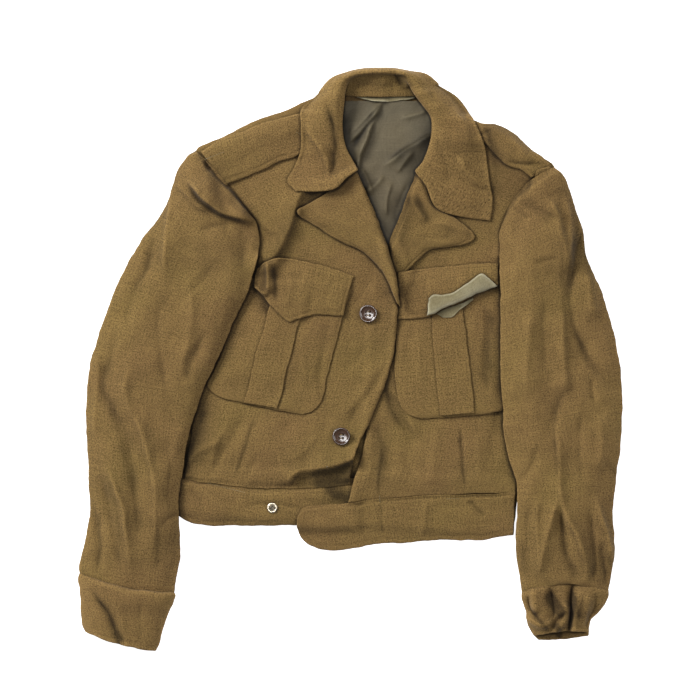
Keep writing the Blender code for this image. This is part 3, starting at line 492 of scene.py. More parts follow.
SHOULDER_FOLDS = [
    (6, 12, 20, (-20, 304, -80, 288, -120, 274, -150, 259, -178, 238, -192, 212)),
    (6, 20, 12, (110, 296, 146, 276, 184, 260, 206, 240, 230, 220, 242, 196)),
]
LINING_FOLDS = [
    (6.1, 1.4, 14, (36, 232, 64, 250, 80, 261, 104, 276)),
    (4.4, 1.4, 6, (42, 318, 30, 296, 12, 276, -6, 256)),
    (4.2, 1.4, 6, (34, 298, 20, 270, 10, 240, 6, 214)),
    (3.5, 1.4, 7, (38, 312, 18, 290, -4, 268)),
    (3.2, 1.4, 6, (38, 304, 20, 285, 6, 264)),
    (3, 1.4, 5, (26, 286, 18, 264, 8, 240)),
    (-2.5, 3, 3, (30, 300, 14, 276, 1.4, 252)),
    (2.7, 3, 1.4, (40, 222, 28, 210, 14, 200)),
    (2.5, 1.4, 5, (76, 252, 64, 236, 52, 222)),
    (2.2, 4, 1.4, (94, 300, 78, 294, 58, 290)),
    (2.5, 1.4, 5, (12, 232, 20, 214, 26, 196)),
    (2.2, 1.4, 4, (50, 216, 44, 196, 44, 170)),
    (-1.8, 3, 3, (70, 214, 60, 190, 56, 160)),
]

# The back reaches a little farther out at the shoulder points, and farther down under
# the waistband.
inside_seams = np.array(BACK, float)
inside_seams[4] += (-4, 2, 4, 2, 0, 0)
inside_seams[-1] += (0, -6, 0, -6, 0, 0)
lay("back", "table", inside_seams, SHELL, 6, SHOULDER_FOLDS)
lay("waistband_back", "table", WAISTBAND_BACK, DOUBLE, 7)
lay(
    "lining_back", "back", LINING_BACK, LINING, 1.8, LINING_FOLDS, "lining",
    reach=2, sway=1.6, seed=31, lie=60,
)
lay("neck_tape", "back", NECK_TAPE, LINING, 2.0, slot="drill", reach=2)

# %% [markdown]
# ## The left front
#
# The wearer's left front lies under the right one.  On it are sewn the lapel, a patch
# pocket with a box pleat down its middle, and a pocket flap that has turned up and
# shows its pale facing.  Each is laid in the order in which it lies.

# %% Left front
WAISTBAND_RIGHT = [
    (-201, -142, -207, -185, 0, 0),
    (-188, -144, -192, -195, 0, 2),
    (-168, -147, -172, -198.5, 0, 3),
    (-140, -151, -142, -198.5, 0, 3),
    (-105, -155, -106, -199, 0, 3),
    (-70, -154, -70, -198, 0, 2),
    (-40, -151, -40, -197, 0, 0),
    (4, -150, 4, -196, 0, 0),
]

FRONT_LEFT = [
    (140, 286, 238, 232, 0, 0),
    (116, 266, 226, 222, 0, 3),
    (98, 246, 212, 211, 0, 4),
    (86, 226, 200, 194, 0, 4),
    (74, 206, 190, 176, 0, 4),
    (62, 180, 185, 158, 0, 4),
    (50, 154, 187, 138, 0, 4),
    (42, 126, 194, 114, 0, 3),
    (34, 90, 203, 84, 0, 3),
    (28, 50, 208, 46, 0, 3),
    (24, 10, 208, 6, 0, 3),
    (21, -30, 207, -34, 0, 3),
    (19, -70, 204, -72, 0, 3),
    (17, -98, 201, -104, 0, 3),
    (8.5, -128, 198, -134, 0, 2),
    (-3.6, -171, 197, -159.5, 3, 0),
]

WAISTBAND_LEFT = [
    (-64, -188, -65, -201, 0, 0),
    (-59, -179, -60, -214, 0, 0),
    (-52, -175.5, -52, -221, 0, 0),
    (-40, -174, -40, -226, 0, 1),
    (-20, -173, -12, -228, 0, 1),
    (2, -171, 6, -225, 0, 1),
    (20, -168, 30, -221.5, 0, 1),
    (60, -165, 70, -219, 0, 1),
    (110, -161.5, 115, -216, 0, 1),
    (160, -161, 160, -215.5, 0, 1),
    (197, -158.5, 195, -209, 0, 0),
]

LAPEL_LEFT = [
    (80, 230, 88, 226, 0, 0),
    (74, 214, 93, 199, 0, 2),
    (69, 202, 103, 181, 0, 2),
    (65, 190, 122, 171, 0, 2),
    (61, 178, 138, 160, 0, 2),
    (57, 167, 148, 147, 0, 2),
    (52, 156, 139, 139.5, 0, 3),
    (47, 144, 116, 135, 0, 3),
    (43, 131, 94, 131, 0, 3),
    (41, 116, 80, 119, 0, 2),
    (42, 101, 67, 105, 0, 1),
    (46, 86, 57, 93, 0, 0),
]

POCKET_LEFT = [
    (58, 98, 200, 104, 0, 0),
    (55, 60, 200, 66, 0, 1),
    (54, 24, 199, 28, 0, 1),
    (53, -12, 198, -8, 0, 1),
    (55, -38, 196, -34, 0, 1),
    (58.5, -51, 193, -46, 0, 1),
    (65, -61, 187, -55, 0, 1),
    (73, -66.5, 179, -60.5, 0, 1),
    (86, -70, 166, -64, -1, 0),
]

PLEAT_LEFT = [
    (96, 92, 133, 94, 0, 0),
    (97, 52, 134, 60, 0, 0),
    (99, 14, 139, 18, 0, 0),
    (102, -24, 144, -22, 0, 0),
    (107, -67, 148, -63.5, 0, 0),
]

FLAP_LEFT_TAB = [
    (102, 56, 104, 54.5, 0, 0),
    (112, 60, 112, 50.5, 0, 0),
    (119, 63, 119, 50.5, 0, 0),
    (130, 67, 130, 60, 0, 0),
    (146, 74, 146, 71.5, 0, 0),
]

FLAP_LEFT = [
    (56, 105, 56, 49.5, 0, 0),
    (74, 107, 74, 49, 0, 1),
    (90, 109, 90, 51.5, 0, 1),
    (106, 111, 106, 59, 0, 1),
    (128, 113.5, 128, 68, 0, 1),
    (150, 115.5, 150, 78, 0, 2),
    (168, 116, 168, 86, 0, 1),
    (177, 115, 177, 89.5, 0, 0),
]

FLAP_LEFT_LINING = [
    (90.5, 53.5, 93, 74, 0, 0),
    (98, 56, 98, 78, 0, 1),
    (112, 62, 112, 78.5, 0, 1),
    (126, 68, 124, 81.5, 0, 1),
    (139, 73.5, 136, 90, 0, 1),
    (151, 79, 147, 97.5, 0, 2),
    (161, 83, 157, 103, 0, 2),
    (168, 86, 164, 98.5, 0, 1),
    (175, 88.5, 172, 91.5, 0, 0),
]

BODY_LEFT_FOLDS = [
    (-3.8, 7, 6, (40, -36, 56, -66, 70, -92, 74, -116)),
    (2.8, 9, 6, (46, -30, 66, -62, 82, -96)),
    (-3.2, 6, 8, (34, -70, 44, -104, 46, -140)),
    (-4.8, 5, 7, (160, 70, 166, 40, 163, 10, 161, -40)),
    (-3.4, 9, 8, (178, -10, 176, -60, 170, -128)),
    (2.4, 9, 8, (22, -50, 24, -100, 18, -160)),
    (-1.6, 1.6, 1.6, (130, -70, 133, -116, 137, -164)),
    (2.2, 9, 7, (106, -76, 100, -110, 96, -156)),
    (-2.4, 7, 6, (62, -104, 70, -130, 76, -164)),
    (-2.6, 8, 7, (178, 142, 164, 166, 146, 192)),
    (2.4, 6, 6, (190, 152, 182, 136, 170, 118)),
    (2, 8, 6, (150, -84, 154, -116, 150, -150)),
]
WAISTBAND_LEFT_FOLDS = [
    (-2.4, 3, 4, (138, -167, 148, -174, 162, -188)),
    (-1.4, 1.3, 1.3, (36, -160, 37, -190, 38, -230)),
    (2.1, 7, 6, (94, -164, 88, -190, 82, -220)),
    (1.8, 6, 6, (-20, -180, 0, -200, 20, -206)),
    (-1.8, 6, 6, (110, -190, 140, -200, 176, -196)),
]
WAISTBAND_RIGHT_FOLDS = [
    (-2.2, 3, 4, (-136, -174, -102, -173, -82, -174, -54, -180)),
    (2.2, 5, 5, (-186, -152, -166, -166, -144, -190)),
    (-2, 3, 3, (-196, -150, -182, -170, -176, -192)),
    (1.7, 5, 5, (-60, -160, -36, -166, -12, -160)),
]
LAPEL_LEFT_FOLDS = [
    (-1.8, 5, 4, (72, 212, 84, 190, 96, 172, 110, 162)),
    (2.7, 4, 5, (70, 196, 80, 178, 92, 164)),
    (2.7, 8, 5, (96, 168, 118, 160, 146, 150)),
    (-1.8, 5, 4, (76, 150, 96, 146, 126, 150)),
    (1.9, 5, 5, (54, 150, 62, 130, 66, 108)),
]
LAPEL_RIGHT_FOLDS = [
    (1.8, 10, 10, (-52, 178, -20, 166, 14, 150)),
    (-1.5, 8, 8, (-20, 196, 0, 176, 30, 150)),
]
POCKET_LEFT_FOLDS = [
    (-2.6, 4, 5, (158, 74, 165, 44, 163, 12, 162, -46)),
    (-1.8, 5, 5, (70, 46, 68, 0, 70, -46)),
    (1.8, 6, 6, (182, 66, 186, 20, 180, -36)),
    (1.3, 5, 5, (84, 40, 82, 0, 86, -40)),
]

# What cloth of one kind has in common: a band sewn on along its top, and a patch pocket
# sewn on at three sides.
BAND = {"reach": 4, "sway": 0.9, "lie": 0, "seams": [0]}
POCKET = {"reach": 2, "sway": 1.2, "grooves": [(0, EDGE_ROW), (1, EDGE_ROW), (3, EDGE_ROW)]}

under_sleeve = np.array(WAISTBAND_RIGHT, float)  # its end reaches farther under the sleeve
under_sleeve[0] += (-4, 0, -4, 0, 0, 0)
lay(
    "waistband_right", "back", under_sleeve, DOUBLE, 2.2, WAISTBAND_RIGHT_FOLDS,
    seed=34, grooves=[(0, SEAM_ROW), (1, TOP_ROW)], **BAND,
)
lay("front_left", "back", FRONT_LEFT, SHELL, 2.4, BODY_LEFT_FOLDS, sway=1.5, seed=3, lie=80)
lay(
    "waistband_left", "front_left", WAISTBAND_LEFT, DOUBLE, 2.2, WAISTBAND_LEFT_FOLDS,
    seed=37, grooves=[(0, SEAM_ROW), (1, TOP_ROW), (2, TOP_ROW)], **BAND,
)
lay(
    "lapel_left", "front_left", LAPEL_LEFT, DOUBLE, 2.0, LAPEL_LEFT_FOLDS, reach=3, sway=1.1,
    seed=41, lie=60, grooves=[(0, SEAM_ROW), (1, TOP_ROW)], seams=[0], roll=(0, 3.5),
)
lay(
    "pocket_left", "front_left", POCKET_LEFT, PATCH, 2.0, POCKET_LEFT_FOLDS,
    seed=43, lie=85, **POCKET,
)
lay("pleat_left", "pocket_left", PLEAT_LEFT, PATCH, 2.0, reach=2, sway=0.9, seed=44, lie=90)
lay(
    "flap_left_tab", "pocket_left", FLAP_LEFT_TAB, LINING, 1.4, slot="drill",
    reach=2, sway=0.4, seed=45,
)
lay(
    "flap_left", "pocket_left", FLAP_LEFT, FLAP, 1.8,
    reach=3, sway=0.5, seed=46, lie=0, grooves=[(1, TOP_ROW), (2, TOP_ROW)],
)
lay(
    "flap_left_lining", "flap_left", FLAP_LEFT_LINING, FLAP, 1.4, slot="drill",
    reach=2, sway=0.5, seed=47, lie=10, grooves=[(1, FLAP_ROW)], roll=(0, 1.2),
)

# %% [markdown]
# ## The right front
#
# The right front laps over the left and carries the buttons.  Two folds matter most:
# the shoulder, which laps over the chest in a steep step, and the blouse, which hangs
# over the waistband.  Both are steep on one side only.

# %% Right front
FRONT_RIGHT = [
    (-176, 244, -44, 297, 0, 0),
    (-163, 228, -34, 272, 0, 3),
    (-147, 206, -20, 250, 0, 5),
    (-134, 187, -6, 236, 0, 6),
    (-122, 171, 8, 218, 0, 6),
    (-115, 158, 20, 190, 0, 5),
    (-113, 140, 32, 160, 0, 4),
    (-116, 116, 44, 124, 0, 4),
    (-128, 92, 52, 95, 0, 4),
    (-144, 64, 56, 66, 0, 4),
    (-158, 34, 54, 32, 0, 4),
    (-170, 2, 50, 2, 0, 4),
    (-179, -32, 38, -36, 0, 4),
    (-187, -68, 24, -70, 0, 5),
    (-193, -98, 11.5, -97, 0, 5),
    (-197, -120, 4, -116, 0, 3),
    (-199, -134, 0, -132, 0, 1),
    (-200, -142, -1, -148, -9, 0),
]

LAPEL_RIGHT = [
    (-22, 203, 6, 230, 0, 2),
    (-40, 193, 10, 220, 0, 2),
    (-56, 184, 14, 210, 0, 2),
    (-64, 179.5, 18, 202, 0, 3),
    (-63, 174, 23, 190, 0, 4),
    (-48, 164, 29, 176, 0, 5),
    (-30, 152.5, 35, 161, 0, 5),
    (-8, 140, 41, 144, 0, 5),
    (14, 129, 47, 124, 0, 4),
    (32, 113, 53, 104, 0, 3),
    (45, 92, 57, 84, 0, 2),
    (54, 70, 59, 64, 0, 1),
]

POCKET_RIGHT = [
    (-127, 100, 0, 84, 0, 0),
    (-135, 72, -8, 58, 0, 1),
    (-145, 38, -15, 30, 0, 2),
    (-156, 6, -23, 2, 0, 2),
    (-167, -18, -29, -20, 0, 2),
    (-172, -29, -31, -35, 0, 1),
    (-170, -35, -34, -45, 0, 1),
    (-164, -40.5, -39, -54, 0, 1),
    (-155, -44.5, -46, -61, 0, 1),
    (-141, -48.5, -58, -65.5, -1, 0),
]

PLEAT_RIGHT = [
    (-90, 92, -51, 88, 0, 0),
    (-98, 61, -61, 50, 0, 0),
    (-108, 26, -68, 22, 0, 0),
    (-116, -2, -75, -4, 0, 0),
    (-123, -30, -82, -34, 0, 0),
    (-128, -51, -88, -58, 0, 0),
]

FLAP_RIGHT = [
    (-112, 110, -117, 88, 0, 0),
    (-102, 118, -104, 75, 0, 3),
    (-92, 122, -95, 64, 0, 3),
    (-82, 122, -83, 52, 0, 2),
    (-72, 121, -75, 46, 0, 2),
    (-58, 119, -64, 49, 0, 2),
    (-40, 114.5, -47, 54, 0, 2),
    (-20, 109, -28, 54.5, 0, 2),
    (-4, 104, -15, 53, 0, 1),
    (4, 101, -8, 53, -2, 0),
]

BODY_RIGHT_FOLDS = [
    (9, 5, 24, (-46, 216, -62, 196, -73, 158, -90, 127, -114, 106, -130, 92)),
    (11, 2, 18, (20, -90, 13, -106, 4, -117, -19, -126, -47, -131, -62, -134, -76, -149, -86,
      -164)),
    (-2.3, 9, 10, (-176, -146, -150, -106, -122, -56)),
    (4.2, 10, 9, (-200, -130, -182, -110, -152, -96)),
    (-1.9, 9, 9, (-48, -48, -38, -10, -22, 50)),
    (2.7, 10, 10, (-12, -72, 12, -40, 36, -2)),
    (-2.1, 5, 7, (44, -6, 25, -35, 10, -55, -6, -92)),
    (-1.4, 5, 5, (22, 16, 6, 2, -10, -16)),
    (-0.9, 1.6, 1.6, (-113, -56, -123, -92, -131, -118, -144, -150)),
    (-1.2, 3, 3, (-110, -112, -119, -130, -130, -150)),
    (2.3, 7, 8, (-146, -74, -160, -100, -172, -136)),
    (2.3, 8, 8, (-36, -84, -52, -104, -74, -124)),
    (2.1, 4, 4, (-108, 167, -98, 158, -86, 150)),
    (-1.6, 5, 6, (-88, 120, -60, 112, -30, 112)),
    (-1.4, 5, 5, (26, 100, 14, 82, 4, 62)),
    (1.8, 7, 7, (-96, -96, -84, -120, -82, -146)),
]
POCKET_RIGHT_FOLDS = [
    (-1.3, 6, 6, (-18, 60, -34, 16, -36, -50)),
    (1.1, 6, 6, (-38, 20, -44, -10, -42, -50)),
    (-1.3, 6, 6, (-136, 60, -150, 10, -158, -30)),
    (1, 6, 6, (-62, 40, -56, 0, -56, -40)),
]
FLAP_RIGHT_FOLDS = [
    (9.0, 7, 2.5, (-102, 124, -99, 104, -100, 88, -98, 76)),
    (5.0, 3, 3, (-118, 88, -108, 81, -98, 78)),
    (-2.6, 3, 5, (-93, 116, -90, 92, -88, 66)),
    (1.6, 8, 7, (-50, 110, -58, 84, -60, 60)),
    (-1.4, 7, 7, (-18, 100, -28, 80, -34, 60)),
    (1.4, 6, 5, (-78, 112, -72, 84, -80, 58)),
]

lay(
    "front_right", "front_left", FRONT_RIGHT, SHELL, 2.2, BODY_RIGHT_FOLDS,
    reach=4, sway=1.5, seed=5, lie=70, roll=(1, 2.5), seams=[3],
)
lay(
    "lapel_right", "front_right", LAPEL_RIGHT, DOUBLE, 2.0, LAPEL_RIGHT_FOLDS,
    reach=3, sway=1.0, seed=51, lie=30, grooves=[(0, TOP_ROW), (2, TOP_ROW)], roll=(1, 4.0),
)
lay(
    "pocket_right", "front_right", POCKET_RIGHT, PATCH, 2.0, POCKET_RIGHT_FOLDS,
    seed=53, lie=75, **POCKET,
)
lay("pleat_right", "pocket_right", PLEAT_RIGHT, PATCH, 2.0, reach=2, sway=0.9, seed=54, lie=75)
lay(
    "flap_right", "pocket_right", FLAP_RIGHT, FLAP, 1.8, FLAP_RIGHT_FOLDS,
    reach=3, sway=1.1, seed=56, lie=20,
    grooves=[(0, FLAP_ROW), (1, TOP_ROW), (2, TOP_ROW), (3, TOP_ROW)],
)

# %% [markdown]
# ## Straps and sleeves
#
# A sleeve lies as a flattened tube: its under piece on the table and its upper piece
# arched over it.  The arch is what gives a sleeve its soft shading towards the edges,
# and the troughs in the table are the creases that run down the arm.

# %% Straps and sleeves
STRAP_RIGHT = [
    (-44, 299, -46, 254, 0, 0),
    (-62, 295, -64, 245, 0, 2),
    (-84, 290, -84, 238, 0, 3),
    (-106, 284, -104, 229, 0, 3),
    (-128, 275, -122, 221, 0, 3),
    (-150, 262, -137, 215, 0, 2),
    (-174, 245, -151, 210, 0, 0),
]

STRAP_LEFT = [
    (138, 290, 136, 262, 0, 0),
    (158, 284, 160, 259, 0, 2),
    (176, 281.5, 172, 247, 0, 4),
    (191, 275, 183, 236, 0, 5),
    (204, 263, 194, 230, 0, 4),
    (216, 253, 204, 228, 0, 3),
    (230, 242, 210, 223, 0, 2),
    (241, 231, 216, 219, 0, 0),
]

SLEEVE_RIGHT_UNDER = [
    (-186, 247, -179, 236, 0, 0),
    (-206, 227, -172, 208, 0, 0),
    (-215, 203, -166, 178, 0, 0),
    (-229, 172, -158, 142, 0, 0),
    (-249, 144, -138, 110, 0, 0),
    (-264, 120, -128, 78, 0, 0),
    (-276, 97, -139, 54, 0, 0),
    (-289, 62, -151, 23, 0, 0),
    (-301, 30, -164, -4, 0, 0),
    (-310, -3, -176, -32, 0, 0),
    (-315, -40, -189, -68, 0, 0),
    (-316, -75, -198, -100, 0, 0),
    (-314, -110, -203, -133, 0, 0),
    (-312, -150, -208, -170, 0, 0),
    (-312, -190, -206, -200, 0, 0),
    (-319, -225, -206, -235, 0, 0),
    (-324, -248, -210, -262, 0, 0),
    (-323, -257.6, -213, -280.6, -6, 0),
]

SLEEVE_RIGHT_UPPER = [
    (-187, 251, -121, 173, 4, 2),
    (-198, 242, -116, 168, 0, 8),
    (-207, 229, -112, 160, 0, 13),
    (-213, 212, -110, 149, 0, 15),
    (-219, 193, -110, 135, 0, 16),
    (-231, 170, -113, 117, 0, 17),
    (-251, 144, -119, 96, 0, 17),
    (-266, 120, -127, 74, 0, 17),
    (-278, 97, -138, 52, 0, 17),
    (-291, 62, -150, 21, 0, 17),
    (-303, 30, -163, -5, 0, 17),
    (-312, -3, -175, -32, 0, 17),
    (-317, -40, -188, -68, 0, 17),
    (-318, -75, -197, -100, 0, 17),
    (-316, -110, -202, -133, 0, 17),
    (-314, -150, -207, -170, 0, 16),
    (-314, -190, -205, -200, 0, 15),
    (-321, -225, -205, -235, 0, 13),
    (-326, -247, -209, -261, 0, 11),
    (-325, -257.6, -212, -280.6, -6, 9),
]

SLEEVE_LEFT_UNDER = [
    (222, 227, 236, 232, 0, 0),
    (218, 205, 254, 220, 0, 0),
    (215, 178, 264, 196, 0, 0),
    (210, 142, 274, 162, 0, 0),
    (196, 110, 280, 128, 0, 0),
    (180, 74, 290, 100, 0, 0),
    (180, 40, 301, 76, 0, 0),
    (180, 5, 311, 46, 0, 0),
    (181, -30, 318, 10, 0, 0),
    (183, -65, 323, -35, 0, 0),
    (185, -95, 323, -75, 0, 0),
    (191, -122, 320, -115, 0, 0),
    (199, -150, 314, -156, 0, 0),
    (200, -180, 312, -185, 0, 0),
    (198, -205, 314, -210, 0, 0),
    (200, -240, 312, -246, 0, 0),
    (203, -261, 309, -264, 0, 0),
    (205, -281, 308, -280, 12, 0),
]

SLEEVE_LEFT_UPPER = [
    (184, 172, 243, 231, 9, 2),
    (179, 156, 256, 220, 5, 8),
    (178, 140, 262, 204, 0, 13),
    (178, 122, 268, 185, 0, 15),
    (178, 102, 277, 160, 0, 16),
    (179, 72, 283, 124, 0, 17),
    (179, 40, 298, 88, 0, 17),
    (179, 5, 311, 50, 0, 17),
    (180, -30, 320, 10, 0, 17),
    (182, -65, 325, -35, 0, 17),
    (184, -95, 325, -75, 0, 17),
    (190, -122, 322, -115, 0, 17),
    (198, -150, 316, -156, 0, 16),
    (199, -180, 314, -185, 0, 15),
    (197, -205, 316, -210, 0, 15),
    (199, -240, 314, -246, 0, 14),
    (202, -261, 311, -264, 0, 12),
    (205, -281, 308, -280, 12, 10),
]

SLEEVE_RIGHT_FOLDS = [
    (13, 26, 2.4, (-198, 220, -190, 208, -180, 196, -160, 180, -140, 170.5, -124, 168, -108, 172)),
    (4.2, 9, 3, (-212, 218, -198, 199, -184, 186, -166, 178)),
    (-2.4, 5, 5, (-184, 152, -166, 160, -140, 163)),
    (7.3, 16, 4, (-214, 206, -218, 180, -222, 140, -224, 96)),
    (-3.8, 7, 7, (-238, 160, -243, 115, -258, 86, -268, 58, -264, 24)),
    (-3.1, 6, 6, (-224, 76, -232, 40, -228, 10, -220, -50)),
    (-6.1, 8, 11, (-286, 60, -287, 10, -298, -36, -283, -62, -270, -86, -262, -132, -256, -176,
      -253, -246)),
    (6.5, 13, 8, (-262, 20, -270, -40, -252, -84, -238, -130, -234, -190, -240, -250)),
    (-4.2, 6, 8, (-303, -124, -291, -176, -284, -211, -274, -262)),
    (-3.8, 5, 5, (-312, -160, -303, -211, -305, -264)),
    (5.7, 7, 6, (-296, -120, -276, -168, -268, -214, -262, -262)),
    (-2.8, 7, 6, (-170, 40, -187, 8, -198, -30)),
    (-1.9, 3, 3, (-228, -200, -216, -188, -202, -180)),
    (4.2, 11, 9, (-200, 110, -190, 60, -196, 16, -206, -30)),
    (-2.4, 8, 8, (-222, -90, -216, -130, -222, -176)),
    (-2.2, 6, 6, (-160, 120, -176, 96, -206, 70)),
    (3.9, 8, 8, (-300, 20, -306, -40, -306, -100)),
    (-2, 6, 6, (-232, -190, -230, -220, -234, -262)),
]
SLEEVE_LEFT_FOLDS = [
    (6.8, 4, 13, (228, 200, 243, 184, 250, 160, 257, 130, 260, 100)),
    (6.1, 4, 9, (256, 204, 263, 165, 262, 135, 265, 104)),
    (-4.9, 8, 7, (284, 160, 273, 140, 266, 104, 261, 58)),
    (-5.9, 9, 8, (262, 84, 268, 36, 284, 2, 306, -24, 330, -44)),
    (7.6, 5, 14, (252, 60, 254, 20, 256, -20, 257, -50)),
    (5.1, 7, 8, (285, 110, 288, 80, 292, 46)),
    (-2.4, 3, 3, (287, -20, 289, -36, 292, -56)),
    (-4.9, 6, 9, (262, -26, 248, -54, 243, -84, 246, -124, 250, -158)),
    (7.6, 7, 5, (243, -60, 248, -116, 250, -155, 260, -190, 279, -232, 281, -276)),
    (-5.9, 7, 7, (250, -170, 254, -204, 262, -240, 276, -270)),
    (-5.2, 5, 6, (284, -176, 290, -210, 292, -240, 288, -274)),
    (7.6, 5, 7, (290, -160, 302, -194, 311, -226, 312, -250)),
    (-4.4, 5, 5, (300, -214, 302, -240, 310, -276)),
    (-2.4, 4, 5, (300, -120, 310, -130, 326, -142)),
    (6.8, 9, 6, (252, -150, 240, -190, 230, -226, 222, -264)),
    (-3.5, 7, 6, (226, -100, 214, -130, 202, -150)),
    (-3.5, 7, 6, (214, -170, 210, -204, 212, -244)),
    (-2.1, 3, 3, (216, 116, 232, 118, 250, 121)),
    (-3, 7, 6, (200, 188, 222, 180, 250, 166)),
    (-2.1, 4, 4, (190, 188, 202, 176, 214, 168)),
    (4.1, 12, 10, (216, 70, 212, 20, 208, -50)),
    (-2.6, 8, 8, (232, 80, 230, 30, 234, -20)),
    (5.1, 10, 8, (296, -60, 300, -100, 296, -140)),
    (-3, 7, 7, (276, -60, 274, -100, 276, -150)),
    (4.3, 6, 6, (224, -160, 222, -200, 226, -240)),
]
STRAP_LEFT_FOLDS = [
    (-3.1, 3, 3, (186, 238, 205, 235, 225, 232, 246, 232)),
    (-2.2, 3, 3, (150, 268, 160, 273, 170, 276)),
    (2.5, 5, 5, (192, 268, 206, 248, 218, 232)),
]

# The sleeves take their form from the heap without the straps, and rise above a strap
# only where they lie on it.
before_straps = heap.copy()
wide_strap = np.array(STRAP_RIGHT, float)  # widened to the outline near the shoulder point
wide_strap[-2:, :2] = (-152, 267.5), (-180, 249.5)
lay(
    "strap_right", "front_right", wide_strap, FLAP, 2.0,
    reach=4, sway=1.0, seed=61, lie=-20, grooves=[(1, TOP_ROW)],
)
lay(
    "strap_left", "front_left", STRAP_LEFT, FLAP, 2.0, STRAP_LEFT_FOLDS,
    reach=4, sway=1.1, seed=62, lie=-30, grooves=[(1, TOP_ROW)],
)
unders = [
    lay(f"sleeve_{side}_under", "table", table, SHELL, 7, reach=8, ground=before_straps)
    for side, table in (("right", SLEEVE_RIGHT_UNDER), ("left", SLEEVE_LEFT_UNDER))
]
for under in unders:
    lay_on_map(before_straps, under.grid[..., 0], under.grid[..., 1], under.face(1)[..., 2])
for side, table, folds, sway, seed, lie in (
    ("right", SLEEVE_RIGHT_UPPER, SLEEVE_RIGHT_FOLDS, 1.9, 65, 80),
    ("left", SLEEVE_LEFT_UPPER, SLEEVE_LEFT_FOLDS, 2.1, 66, 95),
):
    lay(
        f"sleeve_{side}_upper", f"sleeve_{side}_under", table, SHELL, 2.2, folds,
        body=2.6, sway=sway, seed=seed, lie=lie, seams=[2], ground=before_straps,
    )

# %% [markdown]
# ## Cuffs
#
# A cuff is a short tube of doubled serge, open at its end.  One closed surface runs
# over its upper side and back along its under side, and its thickness is measured
# along the surface's own normals, so that the fold at each side stays round.

# %% Cuffs
CUFF_RIGHT = [
    (-325, -258, -212, -281, -6, 8),
    (-324, -275, -215, -291, -5, 8),
    (-323, -292, -221, -304, -3, 7),
    (-322, -308, -226, -320, -1, 7),
    (-320, -320, -231, -338, 0, 7),
    (-317, -326.5, -235, -349, -3, 7),
]

CUFF_LEFT_UNDER = [
    (205, -281.4, 308, -280.4, 12, 0),
    (207, -291, 303, -292, 8, 0),
    (211, -301, 297, -301, 4, 0),
    (212, -311, 287, -311, 1, 0),
    (216, -323, 285, -321, 0, 0),
    (226, -336, 284, -331, -1, 0),
]

CUFF_LEFT_UPPER = [
    (205, -281.4, 308, -280.4, 12, 10),
    (207, -291, 303, -292, 8, 11),
    (211, -301, 297, -300, 4, 11),
    (211.5, -309, 288, -308, 3, 10),
    (213, -316, 285, -314, 5, 9),
    (221, -331, 284, -327, 4, 6),
]

CUFF_RIGHT_FOLDS = [
    (-3.2, 4, 6, (-312, -270, -298, -292, -288, -310, -279, -338, -270, -374)),
    (2.0, 6, 5, (-288, -280, -276, -306, -266, -350)),
    (-1.8, 7, 7, (-246, -276, -252, -310, -250, -350)),
]
CUFF_LEFT_FOLDS = [
    (-12, 8, 6, (236, -268, 242, -290, 244, -304, 236, -322)),
    (9, 4, 3, (204, -302, 214, -311, 227, -318, 239, -313, 249, -302, 262, -294)),
    (8, 3, 3, (248, -286, 257, -298, 256, -309, 247, -322, 240, -334)),
    (-11, 5, 5, (264, -262, 264, -284, 263, -304, 259, -336)),
    (7, 6, 3, (276, -272, 271, -296, 267, -318, 268, -340)),
    (5, 5, 5, (218, -272, 220, -290, 222, -306)),
    (-5, 3, 3, (212, -280, 216, -298, 226, -312)),
    (-5, 4, 4, (296, -276, 290, -298, 282, -326)),
    (4, 4, 4, (286, -276, 282, -298, 276, -322)),
]


def grid_normals(grid, ring=False):
    """Unit normals of a grid: the cross product of the steps along its two directions."""
    along = np.gradient(grid, axis=0)
    across = np.roll(grid, -1, 1) - np.roll(grid, 1, 1) if ring else np.gradient(grid, axis=1)
    normal = np.cross(along, across)
    return normal / np.maximum(np.linalg.norm(normal, axis=-1, keepdims=True), 1e-9)


def resampled(values, count):
    """A grid with count rows, each read between the two nearest of the old ones."""
    place = np.linspace(0, len(values) - 1.001, count)
    row = place.astype(int)
    share = (place - row).reshape(-1, *[1] * (values.ndim - 1))
    return values[row] * (1 - share) + values[row + 1] * share


def add_cuff(node, under, upper, folds, seed, sway, grooves):
    """A flattened tube: the ring of the upper sheet's sections and the under sheet's.

    The upper side starts a few millimetres inside the sleeve's end, as it is sewn in.
    """
    first, second = np.array(upper[0], float), np.array(upper[1], float)
    inward = first - 5 * (second - first) / np.hypot(*(second - first)[:2])
    inward[:4] += 2.5 * np.array([1, 0, -1, 0])
    inward[4:] = first[4], first[5] - 6
    first[5] -= 2.5
    upper = [inward, first, *upper[1:]]
    global heap
    whole_heap, heap = heap, np.zeros_like(heap)
    floor = drape(under, DOUBLE, 2.0, reach=1)
    roof = drape(upper, DOUBLE, 2.0, folds, reach=1, body=4, sway=sway, seed=seed, grooves=grooves)
    heap = np.maximum(whole_heap, heap)
    lower = resampled(floor.grid, len(roof.grid))
    ring = np.concatenate([roof.grid, lower[:, ::-1]], 1)
    run = np.concatenate([roof.v, resampled(floor.v, len(roof.v))[:, ::-1]], 1)
    end = run.max(axis=0)
    from_ends = np.stack([run, end - run])
    around = np.linalg.norm(np.diff(ring, axis=1), axis=-1).cumsum(1)
    around = np.concatenate([np.zeros((len(ring), 1)), around], 1)
    sheet = Cloth(ring, DOUBLE, from_ends, around, run)
    normals = grid_normals(ring, ring=True)
    if normals[:, : roof.grid.shape[1], 2].mean() < 0:
        normals = -normals
    sheet.normals = normals
    add_cloth(node, sheet, ring=True)
    sheets[node] = roof


